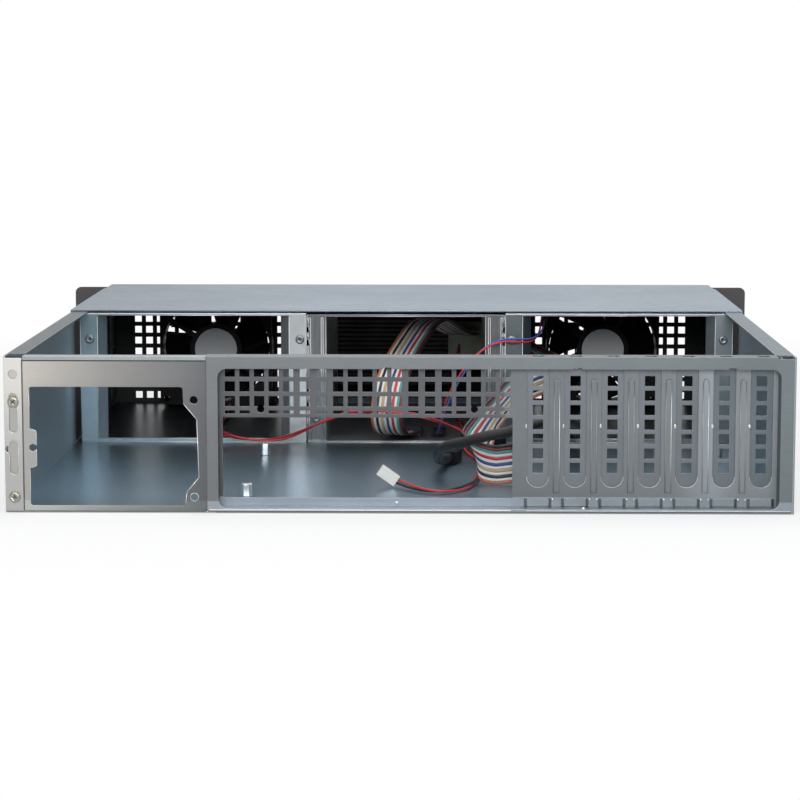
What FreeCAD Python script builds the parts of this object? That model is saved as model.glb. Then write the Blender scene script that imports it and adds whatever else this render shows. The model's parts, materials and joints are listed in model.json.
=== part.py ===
"""Empty 2U rackmount server case with its rear top lid taken off.

Frame: millimetres, +X to the right as seen from the rear, +Y from the rear to the front, +Z up.
The origin is the centre of the case's underside.
"""
import FreeCAD, Part
import math
import os

Vector = FreeCAD.Vector

# ---- driving dimensions of the case ----
case_width = 430.0
case_height = 86.0
case_depth = 460.0
sheet = 1.0
flange_width = 10.0
corner_relief = 13.0
front_lip_half = 94.0
front_lip_top = 4.6

# ---- rear wall ----
left_strip_width = 10.0
psu_plate_width = 99.6
seam_gap = 0.4
centre_post_width = 6.2
right_post_width = 8.0
top_bar_height = 6.7
bottom_lip_height = 2.6
frame_corner_radius = 5.0
recess_depth = 10.0
rear_top_flange = 12.0
top_notch_places = (-6.0, 97.0, 181.0)

# ---- board openings in the recessed panel ----
io_width = 158.75
io_height = 44.45
io_bottom = 7.0
io_side_gap = 1.8
vent_pitch = 8.0
vent_group_pitch = 9.1
vent_web = 2.4
vent_group_counts = (5, 1, 1, 5, 1, 1, 5)
vent_rows = 3
vent_first_gap = 0.8
vent_top_gap = 10.25
slim_slot_height = 1.8
vent_round_radius = 2.0
vent_round_offset = 58.5
slot_count = 7
slot_pitch = 20.32
slot_first_gap = 13.95
slot_width = 12.2
slot_bottom = 13.0
slot_corner_radius = 5.9
ledge_drop = 4.4
bead_width = 3.0
bead_height = 0.8
bead_bottom = 10.3
bead_top_gap = 8.9
pocket_width = 15.0
pocket_height = 4.4
pocket_depth = 1.6

# ---- slot covers ----
cover_width = 18.0
cover_sheet = 0.8
cover_tail_width = 10.0
cover_tail_top = 11.0
cover_bottom = 2.6
cover_hole = 5.6
cover_hole_count = 7
cover_hole_bottom = 23.7
cover_hole_top_gap = 9.9
slot_screw_radius = 3.0

# ---- power supply opening ----
psu_hole_radius = 2.2

# ---- front cover ----
bay_depth = 260.0
cover_skirt = 13.0
cover_skirt_end_gap = 35.0
cover_screw_count = 3

# ---- partition brackets and drive cage ----
bracket_inner_x = 64.2
bracket_outer_gap = 4.0
bracket_post = 11.0
bracket_strip = 5.6
bracket_lip = 2.5
bracket_rail = 1.5
bracket_flange = 12.0
cage_inner_width = 102.9
cage_flange = 11.0
cage_top_gap = 2.0
cage_front_gap = 14.0
cage_rib_height = 0.8
cage_rib_places = (1.4, 9.4)

# ---- front panel, ears and bezel ----
panel_sheet = 1.2
panel_bottom = 0.4
panel_top_gap = 1.0
grid_hole = 4.9
grid_pitch = 7.93
grid_columns = 14
grid_top_gap = 4.0
grid_inner_x = 93.2
grid_bottom_z = 6.7
ear_width = 482.6
ear_sheet = 2.0
ear_leg = 32.0
ear_slot_spacing_z = 44.45
ear_slot_inset_share = 0.3327
ear_slot_radius_share = 0.1293
ear_slot_length_share = 0.3802
ear_corner_share = 0.152
bezel_width = 160.0
bezel_bottom = 3.0
bezel_top_gap = 2.0
bezel_border = 7.0
bezel_proud = 3.0
bezel_inset = 5.0
louvre_pitch = 3.2
louvre_thickness = 1.1
louvre_rise = 4.2

# ---- controls ----
control_x = 45.0
control_plate_width = 24.0
power_button_z = 53.0
reset_button_z = 43.5
led_z = 38.0
led_spacing = 8.0
power_button_radius = 4.5
reset_button_radius = 1.8
led_radius = 1.5
button_gap = 0.3
power_travel = 1.5
reset_travel = 1.0
board_sheet = 1.6

# ---- fans ----
fan_clearance = 6.0
fan_depth = 25.0
fan_x = 138.0
fan_lift = -0.5
fan_screw_inset = 4.25
fan_flange = 3.5
fan_rim = 1.6
fan_hub_radius = 18.0
fan_tip_gap = 1.0
fan_blade_count = 7
fan_blade_sheet = 1.4
fan_shaft_radius = 1.5
shaft_clearance = 0.05
label_radius = 15.0
label_sheet = 0.2

# ---- board standoffs ----
standoff_height = 7.5
standoff_across = 5.5
standoff_bore_radius = 1.4
standoff_first_x = -87.0
standoff_first_y = 50.0
standoff_step_x = (0.0, 157.48, 281.94)
standoff_step_y = (0.0, 154.94)

# ---- boards and places along the cables' routes, as distances from the rear plane ----
header_distance = 445.0
port_board_distance = 446.5
route_bay = 260.0
route_tail = 400.0
route_front = 460.0

# ---- places worked out from the sizes above ----
half_width = case_width / 2
rear = -case_depth / 2
front = case_depth / 2
inner_x = half_width - sheet
top_under = case_height - sheet
ledge_height = case_height - ledge_drop
bead_top = ledge_height - bead_top_gap
cover_hole_pitch = (ledge_height - cover_hole_top_gap - cover_hole_bottom) / (cover_hole_count - 1)
vent_row_pitch = (case_height - io_bottom - io_height - vent_top_gap) / vent_rows
vent_hole = vent_pitch - vent_web
vent_hole_height = vent_row_pitch - vent_web
psu_left = -half_width + left_strip_width + seam_gap
psu_right = psu_left + psu_plate_width
post_left = psu_right + seam_gap / 2
opening_left = post_left + centre_post_width
opening_right = half_width - right_post_width
opening_top = case_height - top_bar_height
panel_rear = rear + recess_depth
panel_front = panel_rear + sheet
io_left = opening_left + io_side_gap
io_right = io_left + io_width
io_centre = (io_left + io_right) / 2
io_top = io_bottom + io_height
slot_first_x = io_right + slot_first_gap
partition = rear + bay_depth + sheet
cage_height = case_height - sheet - cage_top_gap
panel_height = case_height - panel_top_gap - panel_bottom
bezel_top = case_height - bezel_top_gap
ear_flange = (ear_width - case_width) / 2
ear_slot_spacing_x = ear_width - 2 * ear_flange * ear_slot_inset_share
ear_slot_radius = ear_flange * ear_slot_radius_share
ear_slot_length = ear_flange * ear_slot_length_share
ear_corner_radius = ear_flange * ear_corner_share
fan_size = case_height - fan_clearance
fan_z = case_height / 2 + fan_lift
fan_screw_spacing = fan_size - 2 * fan_screw_inset
fan_bore_radius = fan_size / 2 - fan_rim
fan_tip_radius = fan_bore_radius - fan_tip_gap
cage_outer_x = cage_inner_width / 2 + sheet
fan_rear = front - fan_depth
board_rear = front - 9.0


def block(x0, y0, z0, x1, y1, z1):
    """A box between two corners."""
    return Part.makeBox(x1 - x0, y1 - y0, z1 - z0, Vector(x0, y0, z0))


def rod_y(x, z, radius, y0, y1):
    """A round bar along Y."""
    return Part.makeCylinder(radius, y1 - y0, Vector(x, y0, z), Vector(0, 1, 0))


def rod_x(y, z, radius, x0, x1):
    """A round bar along X."""
    return Part.makeCylinder(radius, x1 - x0, Vector(x0, y, z), Vector(1, 0, 0))


def rod_z(x, y, radius, z0, z1):
    """A round bar along Z."""
    return Part.makeCylinder(radius, z1 - z0, Vector(x, y, z0))


def polygon_wire(points):
    """A closed wire through the given points."""
    return Part.makePolygon(list(points) + [points[0]])


def rectangle_wire(x0, z0, x1, z1, y):
    """A rectangle in a plane of constant Y."""
    return polygon_wire([Vector(x0, y, z0), Vector(x1, y, z0), Vector(x1, y, z1), Vector(x0, y, z1)])


def square_wire(x, z, size, y):
    """A square hole's outline, centred at x, z in a plane of constant Y."""
    half = size / 2
    return rectangle_wire(x - half, z - half, x + half, z + half, y)


def rounded_wire(points, radii, y):
    """A closed outline in a plane of constant Y whose corners are rounded by tangent arcs."""
    edges = []
    count = len(points)
    corners = []
    for i in range(count):
        here = Vector(points[i][0], y, points[i][1])
        before = Vector(points[i - 1][0], y, points[i - 1][1])
        after = Vector(points[(i + 1) % count][0], y, points[(i + 1) % count][1])
        radius = radii[i]
        if radius <= 0:
            corners.append((here, None, here))
            continue
        back = (before - here).normalize()
        on = (after - here).normalize()
        half_angle = back.getAngle(on) / 2
        reach = radius / math.tan(half_angle)
        middle_way = (back + on).normalize()
        to_middle = radius / math.sin(half_angle) - radius
        corners.append((here + back * reach, here + middle_way * to_middle, here + on * reach))
    for i in range(count):
        start, middle, end = corners[i]
        following = corners[(i + 1) % count][0]
        if middle is not None:
            edges.append(Part.Arc(start, middle, end).toShape())
        if (following - end).Length > 1e-6:
            edges.append(Part.LineSegment(end, following).toShape())
    return Part.Wire(edges)


def rounded_rectangle(x0, z0, x1, z1, radius, y):
    """A rectangle with round corners in a plane of constant Y."""
    return rounded_wire([(x0, z0), (x1, z0), (x1, z1), (x0, z1)], [radius] * 4, y)


def sheet_with_holes(outline, holes, thickness):
    """A flat sheet in a plane of constant Y, thickened towards +Y, with holes through it."""
    face = Part.makeFace([outline] + holes, "Part::FaceMakerBullseye")
    return face.extrude(Vector(0, thickness, 0))


def prism_z(points, z0, z1):
    """An upright prism over a polygon of (x, y) points."""
    wire = polygon_wire([Vector(x, y, z0) for x, y in points])
    return Part.Face(wire).extrude(Vector(0, 0, z1 - z0))


def prism_x(points, x0, x1):
    """A prism along X over a polygon of (y, z) points."""
    wire = polygon_wire([Vector(x0, y, z) for y, z in points])
    return Part.Face(wire).extrude(Vector(x1 - x0, 0, 0))


def fused(shapes):
    """One solid from touching pieces, with coplanar faces joined."""
    return shapes[0].fuse(shapes[1:]).removeSplitter()


def mirrored(shape):
    """The same piece on the other side of the case."""
    return shape.mirror(Vector(0, 0, 0), Vector(1, 0, 0))


def facet_bar(start, direction, radius, length, side_count, top_radius=None):
    """A small bar with flat sides, for fasteners and the holes that they pass."""
    along = Vector(direction)
    side = Vector(0, 0, 1) if abs(along.z) < 0.5 else Vector(1, 0, 0)
    other = along.cross(side)
    rings = []
    for distance, size in ((0.0, radius), (length, radius if top_radius is None else top_radius)):
        corners = []
        for i in range(side_count):
            angle = 2 * math.pi * (i + 0.5) / side_count
            offset = side * (size * math.cos(angle)) + other * (size * math.sin(angle))
            corners.append(start + along * distance + offset)
        rings.append(polygon_wire(corners))
    return Part.makeLoft(rings, True, True)


def pan_screw(position, direction, head_radius, head_height, shank_radius, shank_length):
    """A pan-head screw: the head stands out of the seat, the shank goes into it."""
    head = facet_bar(position, direction, head_radius, head_height, 12, head_radius * 0.8)
    shank = facet_bar(position, Vector(direction) * -1, shank_radius, shank_length, 6)
    return head.fuse(shank)


def screw_hole(x, y, z, direction, radius, reach):
    """A fastener's clearance hole, from reach before the point to reach after it."""
    along = Vector(direction)
    return facet_bar(Vector(x, y, z) - along * reach, direction, radius, 2 * reach, 8)


parts = {}


# ---- folded tray: floor, side walls, top flanges and the left rear strip ----
def make_chassis_base():
    floor_profile = [
        (-half_width, top_under + sheet), (-half_width, 0), (half_width, 0),
        (half_width, top_under + sheet), (inner_x, top_under + sheet), (inner_x, sheet),
        (-inner_x, sheet), (-inner_x, top_under + sheet),
    ]
    outline = polygon_wire([Vector(x, rear, z) for x, z in floor_profile])
    tray = Part.Face(outline).extrude(Vector(0, case_depth, 0))
    pieces = [tray]
    for side in (-1, 1):
        edge = side * inner_x
        reach = side * (half_width - flange_width)
        low, high = min(edge, reach), max(edge, reach)
        pieces.append(block(low, rear + corner_relief, top_under, high, front, case_height))
    strip_inner = -half_width + left_strip_width
    pieces.append(block(-inner_x, rear, sheet, strip_inner, rear + sheet, case_height - sheet))
    pieces.append(block(-front_lip_half, front - sheet, sheet, front_lip_half, front, front_lip_top))
    tray = fused(pieces)
    strip_x = -half_width + left_strip_width / 2
    upper_slot = rounded_rectangle(strip_x - 2.4, 44, strip_x + 2.4, 66, 2.39, rear - 1)
    key_slot = rounded_rectangle(strip_x - 2.4, 21, strip_x + 2.4, 40, 2.39, rear - 1)
    cuts = [sheet_with_holes(upper_slot, [], 3), sheet_with_holes(key_slot, [], 3)]
    cuts.append(rod_y(strip_x - 2.4, 35, 2.2, rear - 1, rear + 2))
    cuts.append(rod_y(strip_x, 76, 2.6, rear - 1, rear + 2))
    cuts.append(rod_y(strip_x, 8.6, 1.8, rear - 1, rear + 2))
    for side in (-1, 1):
        for y, z in ear_screw_places() + cover_screw_places():
            cuts.append(screw_hole(side * half_width, y, z, (1, 0, 0), 1.7, 3.0))
    return tray.cut(cuts)


def standoff_places():
    places = []
    for step_x in standoff_step_x:
        for step_y in standoff_step_y:
            places.append((standoff_first_x + step_x, rear + standoff_first_y + step_y))
    return places


def ear_screw_places():
    return [(front - ear_leg / 2, case_height * share) for share in (0.186, 0.5, 0.767)]


def cover_screw_places():
    length = case_depth - bay_depth - cover_skirt_end_gap
    first = rear + bay_depth + 12
    last = rear + bay_depth + length - 12
    step = (last - first) / (cover_screw_count - 1)
    return [(first + step * i, case_height - 6.5) for i in range(cover_screw_count)]


# ---- rear frame round the board opening ----
def make_rear_frame():
    outline = rectangle_wire(post_left, sheet, inner_x, top_under, rear)
    opening = rounded_rectangle(opening_left, bottom_lip_height, opening_right, opening_top,
                                frame_corner_radius, rear)
    face = sheet_with_holes(outline, [opening], sheet)
    notches = []
    for centre in top_notch_places:
        notch = block(centre - 2.5, rear - 1, opening_top - 1, centre + 2.5, rear + 2, opening_top + 0.8)
        notches.append(notch)
    face = face.cut(notches)
    flange_end = inner_x - flange_width + 1
    top_flange = block(post_left, rear, top_under, flange_end, rear + rear_top_flange, case_height)
    access = [screw_hole(x, rear + 6.0, case_height, (0, 0, 1), slot_screw_radius + 0.9, 3.0)
              for x in slot_centres()]
    top_flange = top_flange.cut(access)
    left_return = block(opening_left - sheet, rear + sheet, sheet, opening_left, panel_rear, top_under)
    right_return = block(opening_right, rear + sheet, sheet, opening_right + sheet, panel_rear, top_under)
    bottom_return = block(opening_left, rear + sheet, bottom_lip_height - sheet, opening_right, panel_rear,
                          bottom_lip_height)
    return fused([face, top_flange, left_return, right_return, bottom_return])


def slot_centres():
    return [slot_first_x + slot_pitch * i for i in range(slot_count)]


# ---- plate that a power supply is fixed to ----
def make_psu_plate():
    x0 = psu_left
    z0 = sheet
    outline = rectangle_wire(psu_left, z0, psu_right, case_height, rear)
    points = [
        (x0 + 3.3, 4.0), (x0 + 3.3, 24.6), (x0 + 7.0, 25.7), (x0 + 7.0, 45.2), (x0 + 3.3, 46.3),
        (x0 + 3.3, 69.3), (x0 + 87.0, 69.3), (x0 + 87.3, 60.3), (x0 + 94.6, 51.6), (x0 + 95.5, 19.5),
        (x0 + 88.9, 11.8), (x0 + 88.0, 4.0),
    ]
    radii = [1.5, 0.8, 1.2, 1.2, 0.8, 1.5, 1.5, 1.5, 2.0, 2.0, 1.5, 1.5]
    opening = rounded_wire(points, radii, rear)
    plate = sheet_with_holes(outline, [opening], sheet)
    holes = [rod_y(x, z, psu_hole_radius, rear - 1, rear + 2) for x, z in psu_hole_places()]
    plate = plate.cut(holes)
    top_flange = block(psu_left, rear, top_under, psu_right, rear + 8, case_height)
    foot = block(psu_left, rear + sheet, sheet, psu_right, rear + 9, 2 * sheet)
    right_return = block(psu_right - sheet, rear + sheet, sheet, psu_right, rear + 9, case_height)
    ear = block(-inner_x + 0.5, rear + sheet, 4, psu_left + 3, rear + 2 * sheet, 80)
    strip_x = -half_width + left_strip_width / 2
    ear = ear.cut([screw_hole(strip_x, rear + 1.5, z, (0, 1, 0), 1.6, 1.5) for z in strip_screw_heights()])
    return fused([plate, top_flange, foot, right_return, ear])


def psu_hole_places():
    return [(psu_left + 5.0, 36.0), (psu_left + 93.0, 62.2), (psu_left + 93.0, 8.8)]


def strip_screw_heights():
    return (61.0, 8.6)


# ---- recessed panel with the board's opening, its vents and the slots ----
def vent_columns():
    offsets = []
    place = 0.0
    for group in vent_group_counts:
        for _ in range(int(group)):
            offsets.append(place)
            place += vent_pitch
        place += vent_group_pitch - vent_pitch
    middle = (offsets[0] + offsets[-1]) / 2
    return [io_centre + offset - middle for offset in offsets]


def slot_outline(x, y):
    low_z = slot_bottom
    half = slot_width / 2
    high_z = ledge_height - sheet - 0.4
    corners = [(x - half, low_z), (x + half, low_z), (x + half, high_z), (x - half, high_z)]
    return rounded_wire(corners, [slot_corner_radius, slot_corner_radius, 0.0, 0.0], y)


def make_io_slot_panel():
    slots_left = io_right + 3.0
    right_edge = opening_right - 0.2
    left_edge = opening_left - sheet
    outline = polygon_wire([
        Vector(left_edge, panel_rear, sheet), Vector(right_edge, panel_rear, sheet),
        Vector(right_edge, panel_rear, ledge_height), Vector(slots_left, panel_rear, ledge_height),
        Vector(slots_left, panel_rear, top_under), Vector(left_edge, panel_rear, top_under),
    ])
    holes = [rectangle_wire(io_left, io_bottom, io_right, io_top, panel_rear)]
    columns = vent_columns()
    round_places = [io_centre - vent_round_offset, io_centre + vent_round_offset]
    for x in columns:
        for row in range(vent_rows):
            middle = io_top + vent_first_gap + (row + 1) * vent_row_pitch
            holes.append(rectangle_wire(x - vent_hole / 2, middle - vent_hole_height / 2,
                                        x + vent_hole / 2, middle + vent_hole_height / 2, panel_rear))
        if min(abs(x - place) for place in round_places) > vent_pitch / 2:
            low_z = io_top + 2.0
            holes.append(rectangle_wire(x - vent_hole / 2, low_z, x + vent_hole / 2,
                                        low_z + slim_slot_height, panel_rear))
    for x in slot_centres():
        holes.append(slot_outline(x, panel_rear))
    panel = sheet_with_holes(outline, holes, sheet)
    round_z = io_top + 4.6
    panel = panel.cut([rod_y(x, round_z, vent_round_radius, panel_rear - 1, panel_front + 1)
                       for x in round_places])
    ledge_rear = rear + sheet + 0.2
    extras = [block(slots_left, ledge_rear, ledge_height - sheet, right_edge, panel_rear, ledge_height)]
    extras.append(block(left_edge, panel_front, sheet, right_edge, panel_front + 10, 2 * sheet))
    grooves = [screw_hole(x, rear + 6.0, ledge_height, (0, 0, 1), 1.6, 2.0) for x in slot_centres()]
    for x in bead_places():
        extras.append(bead_prism(x, 0.0, panel_rear - bead_height, bead_height))
        grooves.append(bead_prism(x, bead_height, panel_rear, sheet))
    for x in slot_centres():
        extras.append(pocket_prism(x, pocket_width, pocket_height, panel_rear - pocket_depth, panel_rear))
        grooves.append(block(x - pocket_width / 2 + 1, panel_rear - pocket_depth + 0.8, 3.2,
                             x + pocket_width / 2 - 1, panel_front + 0.5, 3.2 + pocket_height - 1.8))
    return fused([panel] + extras).cut(grooves)


def bead_places():
    first = slot_first_x + slot_pitch / 2
    return [first + slot_pitch * i for i in range(slot_count - 1)]


def bead_prism(x, inset, y0, depth):
    """An embossed upright bead with a narrowed top; the groove behind it is inset all round."""
    half = bead_width / 2 - inset
    low = bead_bottom + inset
    high = bead_top - inset
    points = [(x - half, low), (x + half, low), (x + half, high - half),
              (x + half / 2, high), (x - half / 2, high), (x - half, high - half)]
    wire = polygon_wire([Vector(px, y0, pz) for px, pz in points])
    return Part.Face(wire).extrude(Vector(0, depth, 0))


def pocket_prism(x, width, height, y0, y1):
    """A pressed pocket with sloping ends that takes a slot cover's tail."""
    low_z = bottom_lip_height + 0.1
    slope = pocket_depth
    half = width / 2
    points = [(x - half, y1), (x - half + slope, y0), (x + half - slope, y0), (x + half, y1)]
    return prism_z(points, low_z, low_z + height)


# ---- one perforated slot cover with its bent tab ----
def make_slot_cover(x):
    half = cover_width / 2
    tail = cover_tail_width / 2
    top = ledge_height + cover_sheet
    points = [(x - tail, cover_bottom), (x + tail, cover_bottom), (x + tail, cover_tail_top - 2),
              (x + half, cover_tail_top), (x + half, top), (x - half, top), (x - half, cover_tail_top),
              (x - tail, cover_tail_top - 2)]
    outline = rounded_wire(points, [1.0, 1.0, 0, 0, 0, 0, 0, 0], panel_front)
    holes = [square_wire(x, cover_hole_bottom + cover_hole_pitch * i, cover_hole, panel_front)
             for i in range(cover_hole_count)]
    strip = sheet_with_holes(outline, holes, cover_sheet)
    tab = block(x - half, rear + sheet + 0.6, ledge_height, x + half, panel_front, top)
    notch = screw_hole(x, rear + 6.0, top, (0, 0, 1), 1.9, 2.0)
    return fused([strip, tab]).cut(notch)


# ---- top cover over the front part ----
def make_front_cover():
    near = rear + bay_depth
    skirt_end = front - cover_skirt_end_gap
    top = case_height + sheet
    pieces = [block(-half_width - sheet, near, case_height, half_width + sheet, skirt_end, top)]
    pieces.append(block(-half_width, skirt_end, case_height, half_width, front, top))
    for side in (-1, 1):
        low = min(side * half_width, side * (half_width + sheet))
        pieces.append(block(low, near, case_height - cover_skirt, low + sheet, skirt_end, case_height))
    cover = fused(pieces)
    cuts = []
    for side in (-1, 1):
        for y, z in cover_screw_places():
            cuts.append(screw_hole(side * half_width, y, z, (1, 0, 0), 1.9, 3.0))
    return cover.cut(cuts)


def make_front_cover_screws():
    screws = []
    for side in (-1, 1):
        for y, z in cover_screw_places():
            seat = Vector(side * (half_width + sheet), y, z)
            screws.append(pan_screw(seat, (side, 0, 0), 2.9, 1.4, 1.5, 3.5))
    return Part.makeCompound(screws)


# ---- partition brackets that carry air from the fans ----
def make_bracket():
    outer = half_width - bracket_outer_gap - sheet
    window_in = bracket_inner_x + bracket_post
    window_out = outer - bracket_post
    y0 = partition
    y1 = partition + sheet
    lean = bracket_strip
    inner_post = [(bracket_inner_x, y0), (window_in, y0), (window_in + lean, y0 + lean),
                  (window_in + lean - 1.0, y1 + lean), (window_in - 0.5, y1), (bracket_inner_x, y1)]
    outer_post = [(outer, y0), (outer, y1), (window_out + 0.5, y1), (window_out - lean + 1.0, y1 + lean),
                  (window_out - lean, y0 + lean), (window_out, y0)]
    top = top_under
    pieces = [prism_z(inner_post, sheet, top - sheet), prism_z(outer_post, sheet, top - sheet)]
    pieces.append(block(bracket_inner_x, y0, top - bracket_rail, outer, y1, top))
    pieces.append(block(bracket_inner_x, y0, top - sheet, outer, y0 + bracket_flange, top))
    pieces.append(block(bracket_inner_x, y0, sheet, outer, y1, sheet + bracket_lip))
    pieces.append(block(bracket_inner_x, y0, sheet, outer, y0 + bracket_flange, 2 * sheet))
    bracket = fused(pieces)
    holes = [screw_hole(x, y0, z, (0, 1, 0), 1.7, 2.0) for x, z in bracket_screw_places()]
    return bracket.cut(holes)


def bracket_screw_places():
    outer = half_width - bracket_outer_gap - sheet
    return [(bracket_inner_x + 4.0, 68.0), (outer - 6.0, 68.0)]


# ---- open-ended drive cage between the brackets ----
def make_drive_cage():
    cage_front = front - cage_front_gap
    top = sheet + cage_height
    shell = block(-cage_outer_x, partition, sheet, cage_outer_x, cage_front, top)
    hollow_x = cage_outer_x - sheet
    hollow = block(-hollow_x, partition - 1, 2 * sheet, hollow_x, cage_front + 1, top - sheet)
    cage = shell.cut(hollow)
    pieces = [cage]
    for side in (-1, 1):
        low = min(side * cage_outer_x, side * (cage_outer_x + cage_flange))
        pieces.append(block(low, partition, sheet, low + cage_flange, partition + sheet, top))
        for inset in cage_rib_places:
            x = side * (cage_outer_x + inset)
            pieces.append(block(x - 0.6, partition - cage_rib_height, sheet + 1, x + 0.6, partition, top - 2))
    cage = fused(pieces)
    cuts = []
    for y in (partition + 40, partition + 100):
        for z in (20.0, 60.0):
            cuts.append(rod_x(y, z, 2.0, -half_width, half_width))
    for side in (-1, 1):
        for z in cage_screw_heights():
            cuts.append(screw_hole(side * cage_screw_x(), partition, z, (0, 1, 0), 1.7, 2.0))
        for z in (0.28, 0.38, 0.76, 0.86):
            low = side * (cage_outer_x + cage_flange) - 1.2
            cuts.append(block(low, partition - 1, top * z, low + 2.4, partition + 2, top * z + 4.0))
    for y in (partition + 30, partition + 85):
        cuts.append(block(-20, y, top - 2 * sheet, 20, y + 30, top + 1))
    return cage.cut(cuts)


def cage_screw_x():
    return cage_outer_x + cage_flange / 2


def cage_screw_heights():
    return (0.195 * case_height, 0.588 * case_height)


# ---- front panel with its two fields of square holes ----
def fan_screw_places(side):
    half = fan_screw_spacing / 2
    return [(side * fan_x + a * half, fan_z + b * half) for a in (-1, 1) for b in (-1, 1)]


def make_front_panel():
    top = panel_bottom + panel_height
    outline = rectangle_wire(-half_width, panel_bottom, half_width, top, front)
    grid_rows = int((top - grid_top_gap - grid_bottom_z) / grid_pitch) + 1
    holes = []
    for side in (-1, 1):
        screws = fan_screw_places(side)
        for column in range(grid_columns):
            for row in range(grid_rows):
                x = side * (grid_inner_x + grid_pitch * column)
                z = grid_bottom_z + grid_pitch * row
                if min(math.hypot(x - sx, z - sz) for sx, sz in screws) > 6.4:
                    holes.append(square_wire(x, z, grid_hole, front))
    holes.append(rectangle_wire(-bezel_inner_x(), bezel_bottom + 3, bezel_inner_x(), bezel_top - 3, front))
    panel = sheet_with_holes(outline, holes, panel_sheet)
    cuts = [screw_hole(x, front, z, (0, 1, 0), 2.0, 3.0)
            for side in (-1, 1) for x, z in fan_screw_places(side)]
    panel = panel.cut(cuts)
    returns = []
    for side in (-1, 1):
        wall = side * (inner_x - 0.2)
        low = min(wall, wall - side * sheet)
        leaf = block(low, front - ear_leg, 6, low + sheet, front, case_height - 10)
        leaf = leaf.cut([screw_hole(low, y, z, (1, 0, 0), 1.6, 2.0) for y, z in ear_screw_places()])
        returns.append(leaf)
    return fused([panel] + returns)


def bezel_inner_x():
    return bezel_width / 2 - 3.0


# ---- rack ears ----
def make_ear_left():
    outer = -ear_width / 2
    low = panel_bottom
    high = panel_bottom + panel_height
    y0 = front + panel_sheet - ear_sheet
    outline = rounded_wire([(outer, low), (-half_width, low), (-half_width, high), (outer, high)],
                           [ear_corner_radius, 0, 0, ear_corner_radius], y0)
    slots = []
    for side in (-1, 1):
        z = (low + high) / 2 + side * ear_slot_spacing_z / 2
        x = -ear_slot_spacing_x / 2
        half = ear_slot_length / 2
        slots.append(rounded_rectangle(x - half, z - ear_slot_radius, x + half, z + ear_slot_radius,
                                       ear_slot_radius - 0.001, y0))
    plate = sheet_with_holes(outline, slots, ear_sheet)
    leg = block(-half_width - ear_sheet, front - ear_leg, 6, -half_width, y0 + ear_sheet, case_height - 6)
    ear = fused([plate, leg])
    holes = [screw_hole(-half_width, y, z, (1, 0, 0), 2.1, 4.0) for y, z in ear_screw_places()]
    return ear.cut(holes)


def make_ear_screws():
    screws = []
    for side in (-1, 1):
        for y, z in ear_screw_places():
            seat = Vector(side * (half_width + ear_sheet), y, z)
            screws.append(pan_screw(seat, (side, 0, 0), 3.6, 1.8, 1.5, 5.0))
    return Part.makeCompound(screws)


# ---- louvred bezel over the drive bay ----
def control_left():
    return control_x - control_plate_width / 2


def control_right():
    return control_x + control_plate_width / 2


def make_bay_bezel():
    y_in = front - bezel_inset
    y_face = front + panel_sheet
    y_out = y_face + bezel_proud
    half = bezel_width / 2
    hole_x = half - bezel_border
    hole_low = bezel_bottom + bezel_border
    hole_high = bezel_top - bezel_border
    rim = sheet_with_holes(rounded_rectangle(-half, bezel_bottom, half, bezel_top, 4.0, y_face),
                           [rectangle_wire(-hole_x, hole_low, hole_x, hole_high, y_face)], bezel_proud)
    body_x = bezel_inner_x() - 0.2
    body = sheet_with_holes(rectangle_wire(-body_x, bezel_bottom + 3.2, body_x, bezel_top - 3.2, y_in),
                            [rectangle_wire(-hole_x, hole_low, hole_x, hole_high, y_in)], y_face - y_in)
    pieces = [rim, body]
    louvre_low = hole_low + 0.9
    count = int((hole_high - louvre_low) / louvre_pitch)
    for i in range(count):
        z = louvre_low + louvre_pitch * i
        section = [(y_in, z), (y_in, z + louvre_thickness), (y_out - 1.0, z + louvre_thickness - louvre_rise),
                   (y_out - 1.0, z - louvre_rise)]
        if i == 0:
            section = [(y_in, z), (y_in, z + louvre_thickness), (y_face, z + 0.4), (y_face, z - 0.7)]
        pieces.append(prism_x(section, -hole_x - 0.5, control_left() + 0.5))
        pieces.append(prism_x(section, control_right() - 0.5, hole_x + 0.5))
    plate = block(control_left(), front - 1, hole_low - 0.5, control_right(), y_out - 1.5, hole_high + 0.5)
    pieces.append(plate)
    for z in (board_low() + 2.5, board_high() - 2.5):
        pieces.append(rod_y(control_x - 6, z, 1.6, board_rear + board_sheet, front - 1))
    bezel = fused(pieces)
    cuts = [rod_y(control_x, power_button_z, power_button_radius + button_gap, front - 2, y_out + 1)]
    cuts.append(rod_y(control_x, reset_button_z, reset_button_radius + button_gap, front - 2, y_out + 1))
    for x in led_places():
        cuts.append(rod_y(x, led_z, led_radius, front - 2, y_out + 1))
    return bezel.cut(cuts)


def led_places():
    return [control_x - led_spacing / 2, control_x + led_spacing / 2]


def board_low():
    return led_z - 5.0


def board_high():
    return power_button_z + 8.0


def make_switch_board():
    y1 = board_rear + board_sheet
    board = block(control_x - 17, board_rear, board_low(), control_x + 9, y1, board_high())
    pieces = [board]
    plunger_tip = front - 1 - button_gap - 1.0
    for z, travel, size in ((power_button_z, power_travel, 6.0), (reset_button_z, reset_travel, 4.4)):
        pieces.append(block(control_x - 3, y1, z - size / 2, control_x + 3, y1 + 2.6, z + size / 2))
        pieces.append(rod_y(control_x, z, 1.6, y1, plunger_tip - travel - button_gap))
    header_x = ribbon_one_route[0][0]
    half = ribbon_one_width / 2
    header = block(header_x - half, depth_at(header_distance), power_button_z - 4,
                   header_x + half, board_rear, power_button_z + 3)
    pieces.append(header)
    return fused(pieces)


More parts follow.
